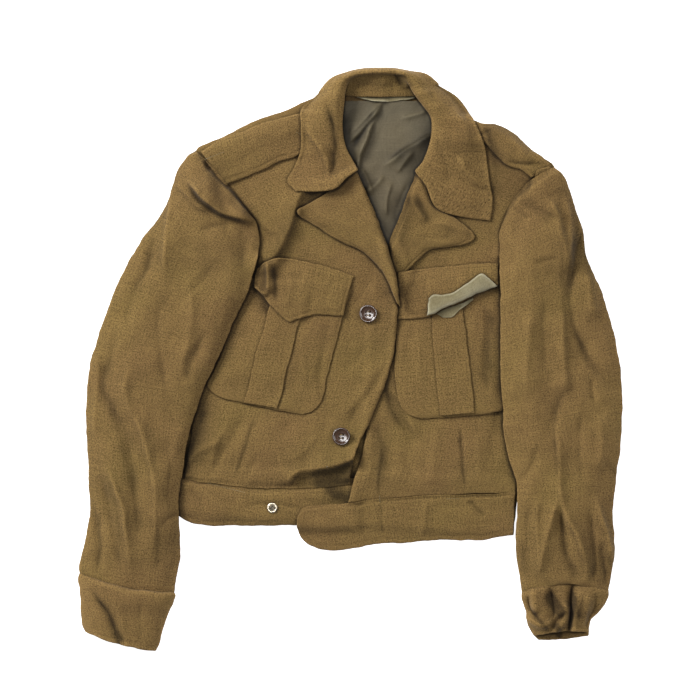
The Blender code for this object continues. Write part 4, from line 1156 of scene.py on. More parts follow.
add_cuff("cuff_right", CUFF_RIGHT, CUFF_RIGHT, CUFF_RIGHT_FOLDS, 68, 0.9, [(3, TOP_ROW)])
add_cuff("cuff_left", CUFF_LEFT_UNDER, CUFF_LEFT_UPPER, CUFF_LEFT_FOLDS, 69, 1.8, [])

# %% [markdown]
# ## The collar
#
# The collar stands up from the neck seam, rolls over and falls outward as the leaf.
# Each row of its table is one cross-section, and eight points worked out from the row
# give its profile.  At the back of the neck the leaf turns under itself.

# %% Collar
COLLAR = [
    (0, 221, 6, 226, -66, 202, 9, 0, 1, 4, 0),
    (-6, 229, 3, 232, -76, 213, 6, 0, 1, 6, 0),
    (-15, 241, -2, 241, -69, 229, 2, 0, 1, 8, 0),
    (-24, 256, -9, 255, -61, 249, 0, 0, 1, 12, 0),
    (-28, 280, -13, 280, -60, 280, 0, 0, 1, 16, 0),
    (-25, 302, -11, 306, -58, 303, 0, 0, 1, 18, 0),
    (-19, 312, -9, 323, -43, 317, 0, 2, 1, 19, 2),
    (-9, 316.5, -6, 334, -26, 336, 0, 8, 1, 19, 5),
    (3, 316, 2, 340, -6, 344, 0, 14, 1, 19, 8),
    (16, 315.5, 15, 343, 12, 348, 0, 20, 1, 19, 9),
    (32, 315, 33, 344, 33, 349, 0, 22, 1, 19, 9),
    (50, 315.5, 52, 343.5, 54, 348.5, 0, 20, 1, 19, 9),
    (64, 316, 64, 341, 71, 345.5, 0, 14, 1, 19, 8),
    (77, 316, 70, 334, 91, 342.5, 0, 8, 1, 19, 5),
    (90, 312, 77, 321, 110, 328, 0, 2, 1, 19, 2),
    (103, 302, 88, 306, 129, 314, 0, 0, 1, 18, 0),
    (113, 288, 98, 291, 145, 291, 0, 0, 1, 16, 0),
    (114, 272, 99, 272, 155, 270, 0, 0, 1, 14, 0),
    (109, 252, 94, 250, 162, 246, 0, 0, 1, 12, 0),
    (103, 238, 88, 236, 166, 214, -2, 0, 1, 9, 0),
    (93, 229, 83, 230, 170, 189, -7, 0, 1, 6, 0),
    (86, 221, 79, 225, 167, 167, -17, 0, 1, 4, 0),
]

COLLAR_FOLDS = [
    (5.4, 8, 3, (-62, 296, -46, 268, -32, 246, -27, 228, -32, 212)),
    (-3.5, 5, 5, (-34, 312, -22, 288, -20, 262, -14, 244)),
    (-2.9, 4, 5, (-24, 254, -20, 236, -26, 218)),
    (4.8, 9, 3, (124, 246, 143, 220, 157, 210, 170, 204)),
    (-2.9, 3, 4, (50, 348, 58, 334, 60, 326)),
    (3.6, 5, 4, (60, 348, 66, 336, 70, 326)),
    (3.1, 7, 7, (116, 306, 132, 284, 144, 250)),
    (-2.4, 7, 6, (100, 270, 112, 240, 120, 206)),
    (-2.2, 8, 6, (-4, 336, 10, 330, 30, 334)),
    (2.4, 6, 6, (20, 350, 34, 340, 44, 326)),
    (-2, 5, 5, (80, 336, 94, 322, 102, 300)),
]
COLLAR_TURN = 22.0  # the leaf's turn under the back neck at its widest


def collar_sheet(spacing):
    """The collar's middle surface: a smooth curve through eight points of each section."""
    rows, along = sections(COLLAR, spacing)
    seam, roll, out = rows[:, 0:2], rows[:, 2:4], rows[:, 4:6]
    bow, turn, seam_lift, roll_lift, out_lift = rows[:, 6:].T
    reach = np.linalg.norm(out - roll, axis=1)
    heading = (out - roll) / reach[:, None]
    square = np.stack([-heading[:, 1], heading[:, 0]], 1)
    turned = np.clip(turn / COLLAR_TURN, 0, 1)
    ground = softened(highest_near(heap, 2), 2)
    seam_z = read_map(ground, *seam.T) + seam_lift
    roll_z = read_map(ground, *roll.T) + roll_lift + DOUBLE
    out_z = read_map(ground, *out.T) + out_lift + DOUBLE / 2 + SEAM_GAP
    edge_z = out_z + turned * (DOUBLE - out_z)
    climb = roll_z - seam_z

    def ahead(distance, aside=0.0):
        return roll + heading * distance[:, None] + square * (aside * bow)[:, None]

    plan = [
        seam,
        seam + (roll - seam) * 0.55,
        ahead(-1.5 + 0 * reach),
        ahead(0.16 * reach, 0.45),
        ahead(0.4 * reach, 1.35),
        ahead(0.68 * reach, 0.95),
        ahead(reach - 0.1 * reach * (1 - turned), 0.3),
        ahead(reach - turn),
    ]
    height = [
        seam_z,
        seam_z + 0.22 * climb,
        seam_z + 0.64 * climb,
        roll_z,
        0.8 * roll_z + 0.2 * out_z + 1.2,
        0.38 * roll_z + 0.62 * out_z + 1.0,
        out_z,
        edge_z,
    ]
    profile = np.concatenate([np.stack(plan, 1), np.stack(height, 1)[..., None]], -1)
    strides = np.linalg.norm(np.diff(profile, axis=1), axis=-1)
    stations = np.concatenate([np.zeros((len(rows), 1)), strides.cumsum(1)], 1)
    across = edged(stations[:, -1], spacing)
    grid = smooth_through(profile, stations, across)
    x, y = grid[..., 0], grid[..., 1]
    from_leaf = stations[:, -1:] - across
    run = np.broadcast_to(along[:, None], across.shape)
    from_edges = np.stack([across, from_leaf, run, along[-1] - run])
    grid[..., 2] += fold_height(COLLAR_FOLDS, x, y)
    grid[..., 2] += 1.3 * crumple(x, y, 57, 70) * np.clip(from_edges.min(0) / 9, 0.2, 1)
    pull = 0.75 + 0.5 * noise(x, y, 7, 82)
    for side in (1, 2, 3):
        off = from_edges[side] - EDGE_LINES[TOP_ROW]
        lies_up = 1 - turned[:, None] if side == 1 else 1.0
        grid[..., 2] -= 0.5 * pull * lies_up * np.exp(-((off / 1.1) ** 2))
    floor = read_map(highest_near(heap, 1), x, y) + SEAM_GAP + DOUBLE / 2
    grid[..., 2] = np.maximum(grid[..., 2], floor)
    return Cloth(grid, DOUBLE, from_edges, across, run)


collar = collar_sheet(1.9)
collar.normals = grid_normals(collar.grid)
lay_on_map(heap, collar.grid[..., 0], collar.grid[..., 1], collar.grid[..., 2] + collar.half)
add_cloth("collar", collar)

# %% [markdown]
# ## Rows of stitches
#
# A topstitch is a row of short bars of thread, pulled a little into the cloth.  The
# grid line at the right distance from an edge is the path.  Each stitch is a small
# capsule, and all the rows are worked out at once and joined in one mesh.

# %% Stitches
STITCH, PITCH, THREAD = 2.3, 3.0, 0.24  # length of a stitch, from one to the next, radius


def row_path(sheet, side, line):
    """The points of a sheet's upper face on one of its edge lines, between the end lines."""
    top = sheet.face(1)
    inner = slice(line, -line or None)
    return [top[inner, line], top[inner, -1 - line], top[line, inner], top[-1 - line, inner]][side]


def stitch_mesh(paths, length, pitch, radius, lift=0.05):
    """Points and faces of capsules in rows: five rings each, the end ones closed to a point."""
    centres, tangents = [], []
    for path in paths:
        far = np.concatenate([[0], np.linalg.norm(np.diff(path, axis=0), axis=1).cumsum()])
        wanted = np.arange(pitch / 2, far[-1] - pitch / 2, pitch)
        spots = [
            np.stack([np.interp(wanted + step, far, path[:, k]) for k in range(3)], 1)
            for step in (-length / 2, length / 2)
        ]
        centres.append((spots[0] + spots[1]) / 2)
        tangents.append(spots[1] - spots[0])
    centre, tangent = np.concatenate(centres), np.concatenate(tangents)
    heading = tangent / np.linalg.norm(tangent, axis=1, keepdims=True)
    side = np.cross(heading, [0, 0, 1.0])
    side /= np.linalg.norm(side, axis=1, keepdims=True)
    up = np.cross(side, heading)
    angle = np.arange(6) * math.tau / 6
    ring = np.cos(angle)[:, None, None] * side + np.sin(angle)[:, None, None] * up
    middle = centre + np.array([0, 0, lift])
    points = [middle - tangent * 0.5]
    for share, wide, sink in ((-0.36, 0.9, 0.03), (0, 1.1, 0.0), (0.36, 0.9, 0.03)):
        points.extend(middle + tangent * share + ring * wide * radius - [0, 0, sink])
    points.append(middle + tangent * 0.5)
    points = np.stack(points, 1)
    k = np.arange(6)
    after = (k + 1) % 6
    caps = [
        np.stack([0 * k, 1 + after, 1 + k, 1 + k], 1),
        np.stack([19 + 0 * k, 13 + k, 13 + after, 13 + after], 1),
    ]
    bands = [np.stack([1 + b + k, 1 + b + after, 7 + b + after, 7 + b + k], 1) for b in (0, 6)]
    one = np.concatenate(caps + bands)
    faces = one + 20 * np.arange(len(points))[:, None, None]
    return points.reshape(-1, 3), faces.reshape(-1, 4)


def add_stitches(name, paths, slot, length=STITCH, pitch=PITCH, radius=THREAD):
    """One mesh of all the stitches on the given paths."""
    points, quads = stitch_mesh(paths, length, pitch, radius)
    faces = [list(dict.fromkeys(face)) for face in quads.tolist()]  # a cap's are triangles
    new_piece(name, points, faces, slot)
    print(f"{name}: {len(points) // 20} stitches")


TOPSTITCHED = [
    ("waistband_right", [1], TOP_ROW), ("waistband_left", [0, 1, 2], TOP_ROW),
    ("lapel_left", [1], TOP_ROW), ("lapel_right", [0, 2], TOP_ROW),
    ("pocket_left", [0, 1, 3], EDGE_ROW), ("pocket_right", [0, 1, 3], EDGE_ROW),
    ("flap_right", [1, 2, 3], TOP_ROW), ("flap_left", [1], TOP_ROW),
    ("strap_right", [1], TOP_ROW), ("strap_left", [1], TOP_ROW),
    ("cuff_right", [3], TOP_ROW), ("collar", [1, 2, 3], TOP_ROW),
]
rows = [row_path(sheets[name], side, line) for name, sides, line in TOPSTITCHED for side in sides]
add_stitches("topstitching", rows, "serge")

# %% Pale thread that shows in a few worn seams
PALE_THREAD = [
    (114, -166.5, 122, -166, 131, -166.5), (-172, -147.5, -150, -153, -126, -159),
    (34, -162, 35, -173), (-30, -128, -25, -127), (-66, 273, -60, 270), (-176, 240, -150, 250),
]
pale_paths = []
for marks in PALE_THREAD:
    x, y = np.array(marks, float).reshape(-1, 2).T
    share = np.linspace(0, len(x) - 1, 12)
    x, y = np.interp(share, range(len(x)), x), np.interp(share, range(len(y)), y)
    pale_paths.append(np.stack([x, y, read_map(heap, x, y) + 0.1], 1))
add_stitches("pale_thread", pale_paths, "drill", length=2.1, pitch=2.6, radius=0.22)

# %% [markdown]
# ## Buttons and snap
#
# Turned objects are one profile swept round.  The four thread holes are part of the
# same surface: the profile's height is lowered where a point is near a hole, so that
# no cutting is needed.

# %% Buttons and snap
BUTTON_RADIUS, HOLE_OUT, HOLE = 10.8, 2.9, 1.05


def heap_under(x, y, radius):
    """The highest point of the heap under a disc."""
    spots = np.arange(-radius, radius + 1)
    dx, dy = np.meshgrid(spots, spots)
    inside = np.hypot(dx, dy) <= radius
    return read_map(heap, x + dx[inside], y + dy[inside]).max()


def swept(profile, radius, steps, wells=()):
    """Points and faces of a profile turned about Z; wells lower its upper side round points."""
    share, height = np.array(profile).T
    angle = np.arange(steps) * math.tau / steps
    x = share[1:-1, None] * radius * np.cos(angle)
    y = share[1:-1, None] * radius * np.sin(angle)
    z = height[1:-1, None] + 0 * x
    upper = (np.arange(1, len(share) - 1) > np.argmax(share))[:, None]
    for well_x, well_y, well_radius, depth in wells:
        near = np.clip(1.3 - np.hypot(x - well_x, y - well_y) / well_radius, 0, 0.6) / 0.6
        z = z - upper * depth * near**2 * (3 - 2 * near)
    points = np.concatenate([
        [[0, 0, height[0]]], np.stack([x, y, z], -1).reshape(-1, 3), [[0, 0, height[-1]]],
    ])
    index = 1 + np.arange(x.size).reshape(x.shape)
    after = np.roll(index, -1, 1)
    faces = np.stack([index[:-1], after[:-1], after[1:], index[1:]], -1).reshape(-1, 4).tolist()
    faces += np.stack([0 * index[0], after[0], index[0]], -1).tolist()
    faces += np.stack([index[-1], after[-1], 0 * index[0] + len(points) - 1], -1).tolist()
    return points, faces


def fine_profile(marks, count):
    """A closer profile through a short table's marks, evenly spaced along it."""
    marks = np.array(marks, float)
    strides = np.linalg.norm(np.diff(marks * [BUTTON_RADIUS, 1], axis=0), axis=1)
    far = np.concatenate([[0], strides.cumsum()])
    fine = smooth_through(marks, far, np.linspace(0, far[-1], count))
    return np.clip(fine, [0, -9], [1.02, 99])


BUTTON = [
    (0, 0), (0.35, 0), (0.62, 0), (0.86, 0.45), (0.97, 1.2), (1, 2.0), (0.985, 2.7), (0.93, 3.15),
    (0.86, 3.2), (0.79, 2.9), (0.72, 2.45), (0.62, 2.15), (0.45, 1.86), (0.2, 1.64), (0, 1.6),
]
SNAP = [
    (0, 0), (0.5, 0), (1, 0), (1.02, 0.4), (1, 0.9), (0.93, 1.35), (0.84, 1.55), (0.7, 1.5),
    (0.6, 1.1), (0.53, 0.75), (0.46, 0.8), (0.41, 1.2), (0.39, 2.2), (0.36, 2.9), (0.3, 3.2),
    (0.22, 3.1), (0.17, 2.6), (0.13, 1.6), (0, 1.4),
]


def add_turned(node, profile, radius, steps, x, y, slot, tilt, wells=(), count=64):
    """A turned piece that leans with the cloth: z also rises by tilt . (dx, dy)."""
    points, faces = swept(fine_profile(profile, count), radius, steps, wells)
    points[:, 2] += points[:, 0] * tilt[0] + points[:, 1] * tilt[1]
    points += [x, y, heap_under(x, y, radius * 0.9) + SEAM_GAP + radius * math.hypot(*tilt)]
    new_piece(f"{node}_turned", points, faces, slot, node)
    print(node, "at", x, y, "rests", round(float(points[:, 2].min()), 1), "mm up")
    return points[:, 2].max()


WELL, THREAD_DOWN = 1.6, 1.45  # depth of a thread hole, and of the thread below the rim
hole_half = HOLE_OUT / math.sqrt(2)
holes = [(a * hole_half, b * hole_half, HOLE, WELL) for a in (-1, 1) for b in (-1, 1)]
BUTTONS = [
    ("button_upper", 20.5, 55.5, (0.03, 0.05)),
    ("button_lower", -11.8, -91.5, (-0.03, 0.03)),
]
for button, x, y, tilt in BUTTONS:
    top = add_turned(button, BUTTON, BUTTON_RADIUS, 96, x, y, "button", tilt, holes)
    bars = [
        np.array([[x + a * hole_half, y + b * hole_half, top - THREAD_DOWN] for a in (-1, 1)])
        for b in (-1, 1)
    ]
    add_stitches(f"{button}_thread", bars, "serge", length=4.4, pitch=4.0, radius=0.42)
SNAP_PLACE, SNAP_RADIUS = (-94.5, -177), 6.2
add_turned("snap_stud", SNAP, SNAP_RADIUS, 72, *SNAP_PLACE, "snap", (0.02, 0.0), count=72)

# %% [markdown]
# ## Worn tone and painted shade
#
# Each cloth vertex learns three numbers from the finished height map.  The first paints
# shade where the cloth lies low in its surroundings, and a highlight with a worn tone
# where it stands on a crest.  The second paints shade where it lies below a higher
# neighbour, as in crevices and where two layers meet; a table of soft lines, like that
# of the folds, paints more shade into recesses, and its negative rows paint light.  The
# third lightens the cloth where it stands out at an edge: worn edges and painted
# highlight.  The material reads all this as attributes.

# %% Worn tone and painted shade attributes
# Lines of painted shade, in plan mm: strength, spread left, spread right, points.  They darken
# recesses, overlaps and folds where shadow falls; rows of negative strength paint light instead.
SHADES = {
    "back": [
        (-1.1, 16, 16, (-10, 322, -80, 303, -120, 289, -150, 273, -190, 250, -204, 226)),
        (-1.1, 16, 16, (110, 312, 150, 290, 190, 275, 214, 253, 246, 230, 258, 200)),
    ],
    "front_right": [
        (0.9, 14, 2, (10, -108, 0, -124, -20, -134, -48, -139, -72, -148)),
        (1.0, 9, 9, (6, -116, -2, -136, -8, -160)),
        (1.2, 12, 12, (-50, -152, -24, -147, 0, -138, 6, -122)),
        (1.0, 7, 7, (-50, 206, -46, 196, -52, 186)),
        (1.0, 12, 12, (-166, -30, -182, -76, -194, -116, -206, -166)),
        (0.5, 20, 20, (-112, 100, -126, 60, -150, 20, -172, -30)),
        (0.8, 10, 10, (-122, 104, -110, 88, -104, 60)),
        (0.5, 10, 5, (-60, 196, -74, 158, -92, 124, -112, 100)),
        (0.6, 1.5, 1.5, (-113, -60, -123, -92, -131, -118, -143, -146)),
    ],
    "pocket_right": [
        (0.8, 9, 9, (-122, 94, -108, 80, -102, 50)),
        (0.35, 16, 16, (-128, 60, -146, 20, -160, -20)),
    ],
    "flap_right": [
        (0.7, 4, 4, (-90, 120, -92, 96, -90, 64)),
        (0.5, 5, 5, (-108, 118, -106, 98, -108, 76)),
    ],
    "front_left": [
        (1.0, 6, 5, (48, 4, 43, -28, 45, -52, 58, -76, 66, -92)),
        (0.5, 12, 14, (192, -36, 194, -90, 194, -160)),
        (0.8, 14, 4, (168, 264, 172, 226, 168, 184)),
        (0.45, 8, 8, (30, -70, 38, -110, 40, -160)),
        (0.6, 1.5, 1.5, (130, -76, 133, -118, 137, -162)),
        (0.7, 1.5, 1.5, (38, -100, 34, -130, 34, -172)),
    ],
    "waistband_right": [(1.3, 12, 8, (-34, -150, -22, -160, -8, -166, 2, -172))],
    "strap_left": [(0.8, 14, 4, (156, 288, 167, 262, 172, 228))],
    "pocket_left": [
        (0.5, 12, 5, (160, 76, 167, 46, 164, 12, 162, -48)),
        (0.4, 9, 9, (182, 64, 180, 10, 176, -46)),
    ],
    "lining_back": [
        (0.8, 9, 2, (102, 275, 80, 261, 64, 250, 44, 240)),
        (0.9, 9, 9, (-8, 312, -8, 276, 2, 230, 10, 200)),
        (0.8, 12, 12, (100, 300, 96, 262, 84, 226, 70, 190)),
        (0.7, 3, 3, (30, 306, 16, 280, 2, 250)),
        (0.7, 16, 16, (60, 210, 54, 176, 48, 140)),
    ],
    "waistband_left": [
        (0.6, 1.6, 1.6, (138, -167, 148, -174, 162, -188)),
        (0.2, 1.5, 1.5, (36, -160, 37, -190, 38, -230)),
    ],
    "collar": [
        (0.8, 4, 5, (-34, 310, -22, 284, -20, 250, -26, 216)),
        (0.5, 3, 3, (52, 344, 60, 332, 62, 322)),
    ],
    "lapel_left": [
        (0.7, 10, 8, (72, 206, 66, 170, 58, 130)),
        (0.5, 4, 4, (76, 200, 86, 178, 98, 162)),
    ],
    "cuff_left": [
        (2.2, 5, 5, (232, -277, 241, -288, 247, -298, 254, -309)),
        (1.6, 3, 3, (245, -314, 248, -323, 252, -336)),
        (1.0, 3, 3, (216, -297, 226, -312, 238, -326)),
        (0.9, 6, 6, (267, -280, 271, -296, 274, -314)),
        (1.0, 4, 4, (266, -268, 264, -294, 262, -330)),
        (0.5, 4, 4, (290, -280, 286, -300, 280, -322)),
    ],
    "cuff_right": [
        (1.0, 4, 4, (-285, -325, -278, -331, -271, -339)),
        (0.9, 3, 4, (-310, -272, -294, -298, -286, -314, -279, -338, -270, -374)),
    ],
    "sleeve_left_upper": [
        (0.33, 6, 6, (286, 170, 272, 140, 262, 90, 261, 44)),
        (0.33, 6, 6, (266, 50, 276, 20, 290, -16, 306, -30)),
        (0.39, 5, 6, (254, -190, 256, -220, 262, -250, 274, -272)),
        (0.39, 4, 5, (284, -196, 288, -224, 286, -270)),
        (0.33, 4, 4, (297, -216, 302, -244, 310, -274)),
        (0.28, 6, 6, (256, -36, 245, -74, 244, -116, 249, -156)),
        (0.39, 5, 5, (206, -210, 207, -236, 210, -264)),
        (0.28, 8, 8, (196, 188, 216, 180, 246, 160)),
        (0.4, 2, 2, (262, 190, 271, 168, 265, 132, 259, 84, 263, 60)),
        (0.45, 2, 2, (276, 156, 281, 132, 287, 96, 289, 50)),
        (0.5, 2, 2, (260, 62, 271, 28, 283, 8, 298, -18)),
        (0.35, 2, 2, (240, 190, 248, 168, 253, 144, 251, 116, 253, 84, 256, 50, 257, 10)),
        (-0.5, 24, 24, (214, 190, 212, 100, 210, 0, 216, -110, 226, -230)),
        (-0.3, 18, 18, (288, 60, 302, -40, 306, -170)),
        (-0.5, 2.5, 2.5, (253, -136, 256, -180, 262, -216, 270, -250)),
    ],
    "sleeve_right_upper": [
        (0.28, 6, 6, (-232, 180, -240, 140, -250, 96, -268, 56)),
        (0.33, 8, 6, (-288, 50, -290, 0, -297, -38, -282, -74, -268, -130, -256, -182, -252,
          -250)),
        (0.28, 5, 5, (-300, -124, -284, -168, -278, -210, -280, -262)),
        (0.28, 9, 9, (-172, 40, -188, 4, -200, -34)),
        (0.28, 3, 3, (-186, 152, -166, 160, -140, 163)),
        (0.2, 5, 3, (-206, 212, -188, 190, -166, 178, -138, 167)),
        (0.8, 1.4, 1.4, (-200, 214, -187, 195, -165, 178.5, -142, 168.5, -118, 167)),
        (0.5, 1.4, 1.4, (-307, -172, -302, -194, -300, -217, -303, -242, -307, -262)),
    ],
}
# Flat cloth sits at this value; lower values paint shade, higher ones a painted highlight with a
# worn tone.
EVEN_WEAR_AND_SHADE = 0.52  # of flat cloth; the finish fades above 0.5 and darkens below it
around_map = softened(heap, 7)
close_map = softened(heap, 1)
highest = softened(highest_near(heap, 1), 1)
lowest = -softened(highest_near(-heap, 2), 1)
for piece in [p for group in ("serge", "lining", "drill") for p in slots[group]]:
    spots = np.zeros(len(piece.data.vertices) * 3, np.float32)
    piece.data.vertices.foreach_get("co", spots)
    x, y, z = (spots.reshape(-1, 3) / MM + [*PLAN_CENTRE, 0]).T
    # Cloth lower than its surroundings gets painted shade, cloth on a crest a painted highlight
    # with a worn tone.
    broad = np.tanh((z - read_map(around_map, x, y)) / 5)
    fine = np.tanh((z - read_map(close_map, x, y)) / 1.2)
    shade = fold_height(SHADES.get(piece.name[:-6], []), x, y)
    # The first value paints shade and highlight and is raised by the negative SHADES rows, which
    # paint light; the second paints shade under higher neighbours and along the SHADES lines; the
    # third lightens standing edges: worn edges and painted highlight.
    facts = {
        "wear": EVEN_WEAR_AND_SHADE + 0.12 * broad + 0.14 * fine - 0.3 * np.minimum(shade, 0),
        "crevice": (read_map(highest, x, y) - z - 0.6) / 5.2 + shade,
        "rim": (z - read_map(lowest, x, y) - 0.9) / 3,
    }
    for label, values in facts.items():
        fact = piece.data.attributes.new(label, "FLOAT", "POINT")
        fact.data.foreach_set("value", np.clip(values, 0, 1).astype(np.float32))
print("wear written on", len(slots["serge"]), "serge pieces")

# %% [markdown]
# ## Materials
#
# Every finish is built from nodes.  Two groups are shared: one gives the weave its
# relief and its speckle, the other mixes broad random fades with the vertex values and
# paints light and shade from them.  The Principled shader stays in each material, with
# its constants set on its sockets.

# %% Node helpers and shared groups
def node(tree, kind, settings=(), **inputs):
    """Adds a node, sets its properties and fills its sockets with values or links."""
    made_node = tree.nodes.new(kind)
    for key, value in dict(settings).items():
        setattr(made_node, key, value)
    for key, value in inputs.items():
        key = key.replace("_", " ")
        socket = made_node.inputs[int(key[3:])] if key[:3] == "in " else made_node.inputs[key]
        if isinstance(value, bpy.types.NodeSocket):
            tree.links.new(value, socket)
        else:
            socket.default_value = value
    return made_node


def group(name, inputs, outputs):
    """An empty node group with its sockets, and its two end nodes."""
    tree = bpy.data.node_groups.new(name, "ShaderNodeTree")
    for label, kind, value in inputs:
        socket = tree.interface.new_socket(label, in_out="INPUT", socket_type=kind)
        if value is not None:
            socket.default_value = value
    for label, kind in outputs:
        tree.interface.new_socket(label, in_out="OUTPUT", socket_type=kind)
    return tree, tree.nodes.new("NodeGroupInput"), tree.nodes.new("NodeGroupOutput")


def maths(tree, operation, a, b=0.0):
    """One step of arithmetic on two values or links."""
    return node(tree, "ShaderNodeMath", {"operation": operation}, in_0=a, in_1=b).outputs[0]


def vector_maths(tree, operation, **inputs):
    """The outputs of one step of arithmetic on vectors."""
    return node(tree, "ShaderNodeVectorMath", {"operation": operation}, **inputs).outputs


def clouds(tree, place, scale, detail, **how):
    """The value of a noise texture."""
    return node(
        tree, "ShaderNodeTexNoise", {}, Vector=place, Scale=scale, Detail=detail, **how
    ).outputs["Fac"]


def remap(tree, value, low, high, to_low=0.0, to_high=1.0):
    """A value moved from low..high to to_low..to_high, and kept in there."""
    limits = {"From_Min": low, "From_Max": high, "To_Min": to_low, "To_Max": to_high}
    return node(tree, "ShaderNodeMapRange", {"clamp": True}, Value=value, **limits).outputs[0]


def mixed(tree, share, one, other):
    """One colour at a share of 0, the other at a share of 1."""
    return node(
        tree, "ShaderNodeMix", {"data_type": "RGBA"}, in_0=share, in_6=one, in_7=other
    ).outputs[2]


FLOAT, COLOUR, VECTOR = "NodeSocketFloat", "NodeSocketColor", "NodeSocketVector"

weave, weave_in, weave_out = group(
    "weave",
    [("Place", VECTOR, None), ("Yarn", FLOAT, 900.0), ("Fleck", FLOAT, 420.0)],
    [("Relief", FLOAT), ("Speckle", FLOAT), ("Fleck", FLOAT), ("Slub", FLOAT)],
)
place, yarn, fleck_size = (weave_in.outputs[label] for label in ("Place", "Yarn", "Fleck"))
twill = node(
    weave, "ShaderNodeTexWave", {"wave_type": "BANDS", "bands_direction": "DIAGONAL"},
    Vector=place, Scale=maths(weave, "MULTIPLY", yarn, 0.31), Distortion=1.5, Detail=1.0,
)
fuzz = clouds(weave, place, yarn, 2.0, Roughness=0.6)
fleck = clouds(weave, place, fleck_size, 3.0, Roughness=0.7)
thread_runs = [
    clouds(weave, vector_maths(weave, "MULTIPLY", in_0=place, in_1=stretch)[0], fleck_size, 2.0)
    for stretch in ((1.0, 0.07, 1.0), (0.07, 1.0, 1.0))
]
slubs = maths(weave, "MULTIPLY", maths(weave, "ADD", *thread_runs), 0.5)
ribs = maths(weave, "MULTIPLY", twill.outputs["Fac"], 0.45)
relief = maths(weave, "ADD", ribs, maths(weave, "MULTIPLY", fuzz, 0.9))
for label, value in (("Relief", relief), ("Speckle", fuzz), ("Fleck", fleck), ("Slub", slubs)):
    weave.links.new(value, weave_out.inputs[label])

# This group paints light and shade into the colour: low cloth and crevices darken towards the deep
# tone as painted shade, crests and standing edges lighten towards the worn tone as painted
# highlight on worn cloth, and broad clouds vary the tone at random.
fading, fade_light_and_shade_in, fade_light_and_shade_out = group(
    "fading",
    [
        ("Place", VECTOR, None),
        ("Worn", COLOUR, (0.3, 0.2, 0.1, 1)),
        ("Body", COLOUR, (0.2, 0.1, 0.05, 1)),
        ("Other", COLOUR, (0.2, 0.1, 0.05, 1)),
        ("Deep", COLOUR, (0.1, 0.05, 0.03, 1)),
    ],
    [("Color", COLOUR)],
)
place, worn, body, other, deep = (fade_light_and_shade_in.outputs[k] for k in range(5))


def read_fact(label):
    """One of the numbers that each vertex has learnt."""
    settings = {"attribute_name": label, "attribute_type": "GEOMETRY"}
    return node(fading, "ShaderNodeAttribute", settings).outputs["Fac"]


broad = clouds(fading, place, 13.0, 4.0, Roughness=0.6)
cast = clouds(fading, place, 7.0, 2.0, Roughness=0.5)
tint = mixed(fading, remap(fading, cast, 0.38, 0.62), body, other)
patches = maths(fading, "MULTIPLY", maths(fading, "SUBTRACT", broad, 0.5), 0.55)
# Below 0.5 the tone darkens towards the deep one as painted shade; above it, it lightens towards
# the worn one as painted highlight on worn crests.
mottled = maths(fading, "ADD", read_fact("wear"), patches)
lighter = mixed(fading, remap(fading, mottled, 0.5, 1.0), tint, worn)
darker = mixed(fading, remap(fading, mottled, 0.5, 0.0), lighter, deep)
# Standing edges lighten towards the worn tone: worn edges and painted highlight.
rubbed_and_lit = mixed(fading, remap(fading, read_fact("rim"), 0.0, 1.0, 0.0, 0.3), darker, worn)
# Crevices and the SHADES lines darken the colour to as little as 0.3 of itself: painted shade.
crevice_shade_factor = remap(fading, read_fact("crevice"), 0.0, 1.0, 1.0, 0.3)
crevice_shaded = vector_maths(fading, "SCALE", in_0=rubbed_and_lit, Scale=crevice_shade_factor)[0]
fading.links.new(crevice_shaded, fade_light_and_shade_out.inputs["Color"])
print("groups:", [tree.name for tree in (weave, fading)])

# %% [markdown]
# ## The finishes
#
# Serge is a dull, hairy twill: very rough, with a little sheen where its fibres stand
# up.  Sateen is smoother, drill is a plain pale cotton, the buttons are a glossy brown
# plastic with faint clouds in it, and the snap is worn metal.

# %% Finishes
def new_finish(name):
    """A new material, its node tree and the sockets of its Principled shader."""
    finish = bpy.data.materials.new(name)
    finish.use_nodes = True
    return finish, finish.node_tree, finish.node_tree.nodes["Principled BSDF"].inputs


def cloth_material(name, colours, speckle, roughness, relief, yarn, fleck_size, sheen):
    """A woven finish.  colours are (worn, body, other body, deep): the worn tone is also
    painted highlight on crests and edges, and the deep tone painted shade in low places;
    speckle is how much the yarns, the flecks and the slubs vary its lightness."""
    finish, tree, sockets = new_finish(name)
    uv = node(tree, "ShaderNodeUVMap", {"uv_map": "cloth"}).outputs["UV"]
    woven = node(
        tree, "ShaderNodeGroup", {"node_tree": weave}, Place=uv, Yarn=yarn, Fleck=fleck_size
    ).outputs
    tones = {label: (*rgb, 1) for label, rgb in zip(("Worn", "Body", "Other", "Deep"), colours)}
    faded_and_shaded = node(tree, "ShaderNodeGroup", {"node_tree": fading}, Place=uv, **tones)
    level = 1.0
    for label, amount in zip(("Speckle", "Fleck", "Slub"), speckle):
        varied = maths(tree, "MULTIPLY", maths(tree, "SUBTRACT", woven[label], 0.5), amount)
        level = maths(tree, "ADD", varied, level)
    tone = vector_maths(tree, "SCALE", in_0=faded_and_shaded.outputs["Color"], Scale=level)[0]
    tree.links.new(tone, sockets["Base Color"])
    bump = node(
        tree, "ShaderNodeBump", {}, Height=woven["Relief"], Strength=relief, Distance=0.0005
    )
    tree.links.new(bump.outputs["Normal"], sockets["Normal"])
    sockets["Roughness"].default_value = roughness
    sockets["Sheen Weight"].default_value = sheen
    sockets["Sheen Roughness"].default_value = 0.5
    sockets["Specular IOR Level"].default_value = 0.12
    return finish


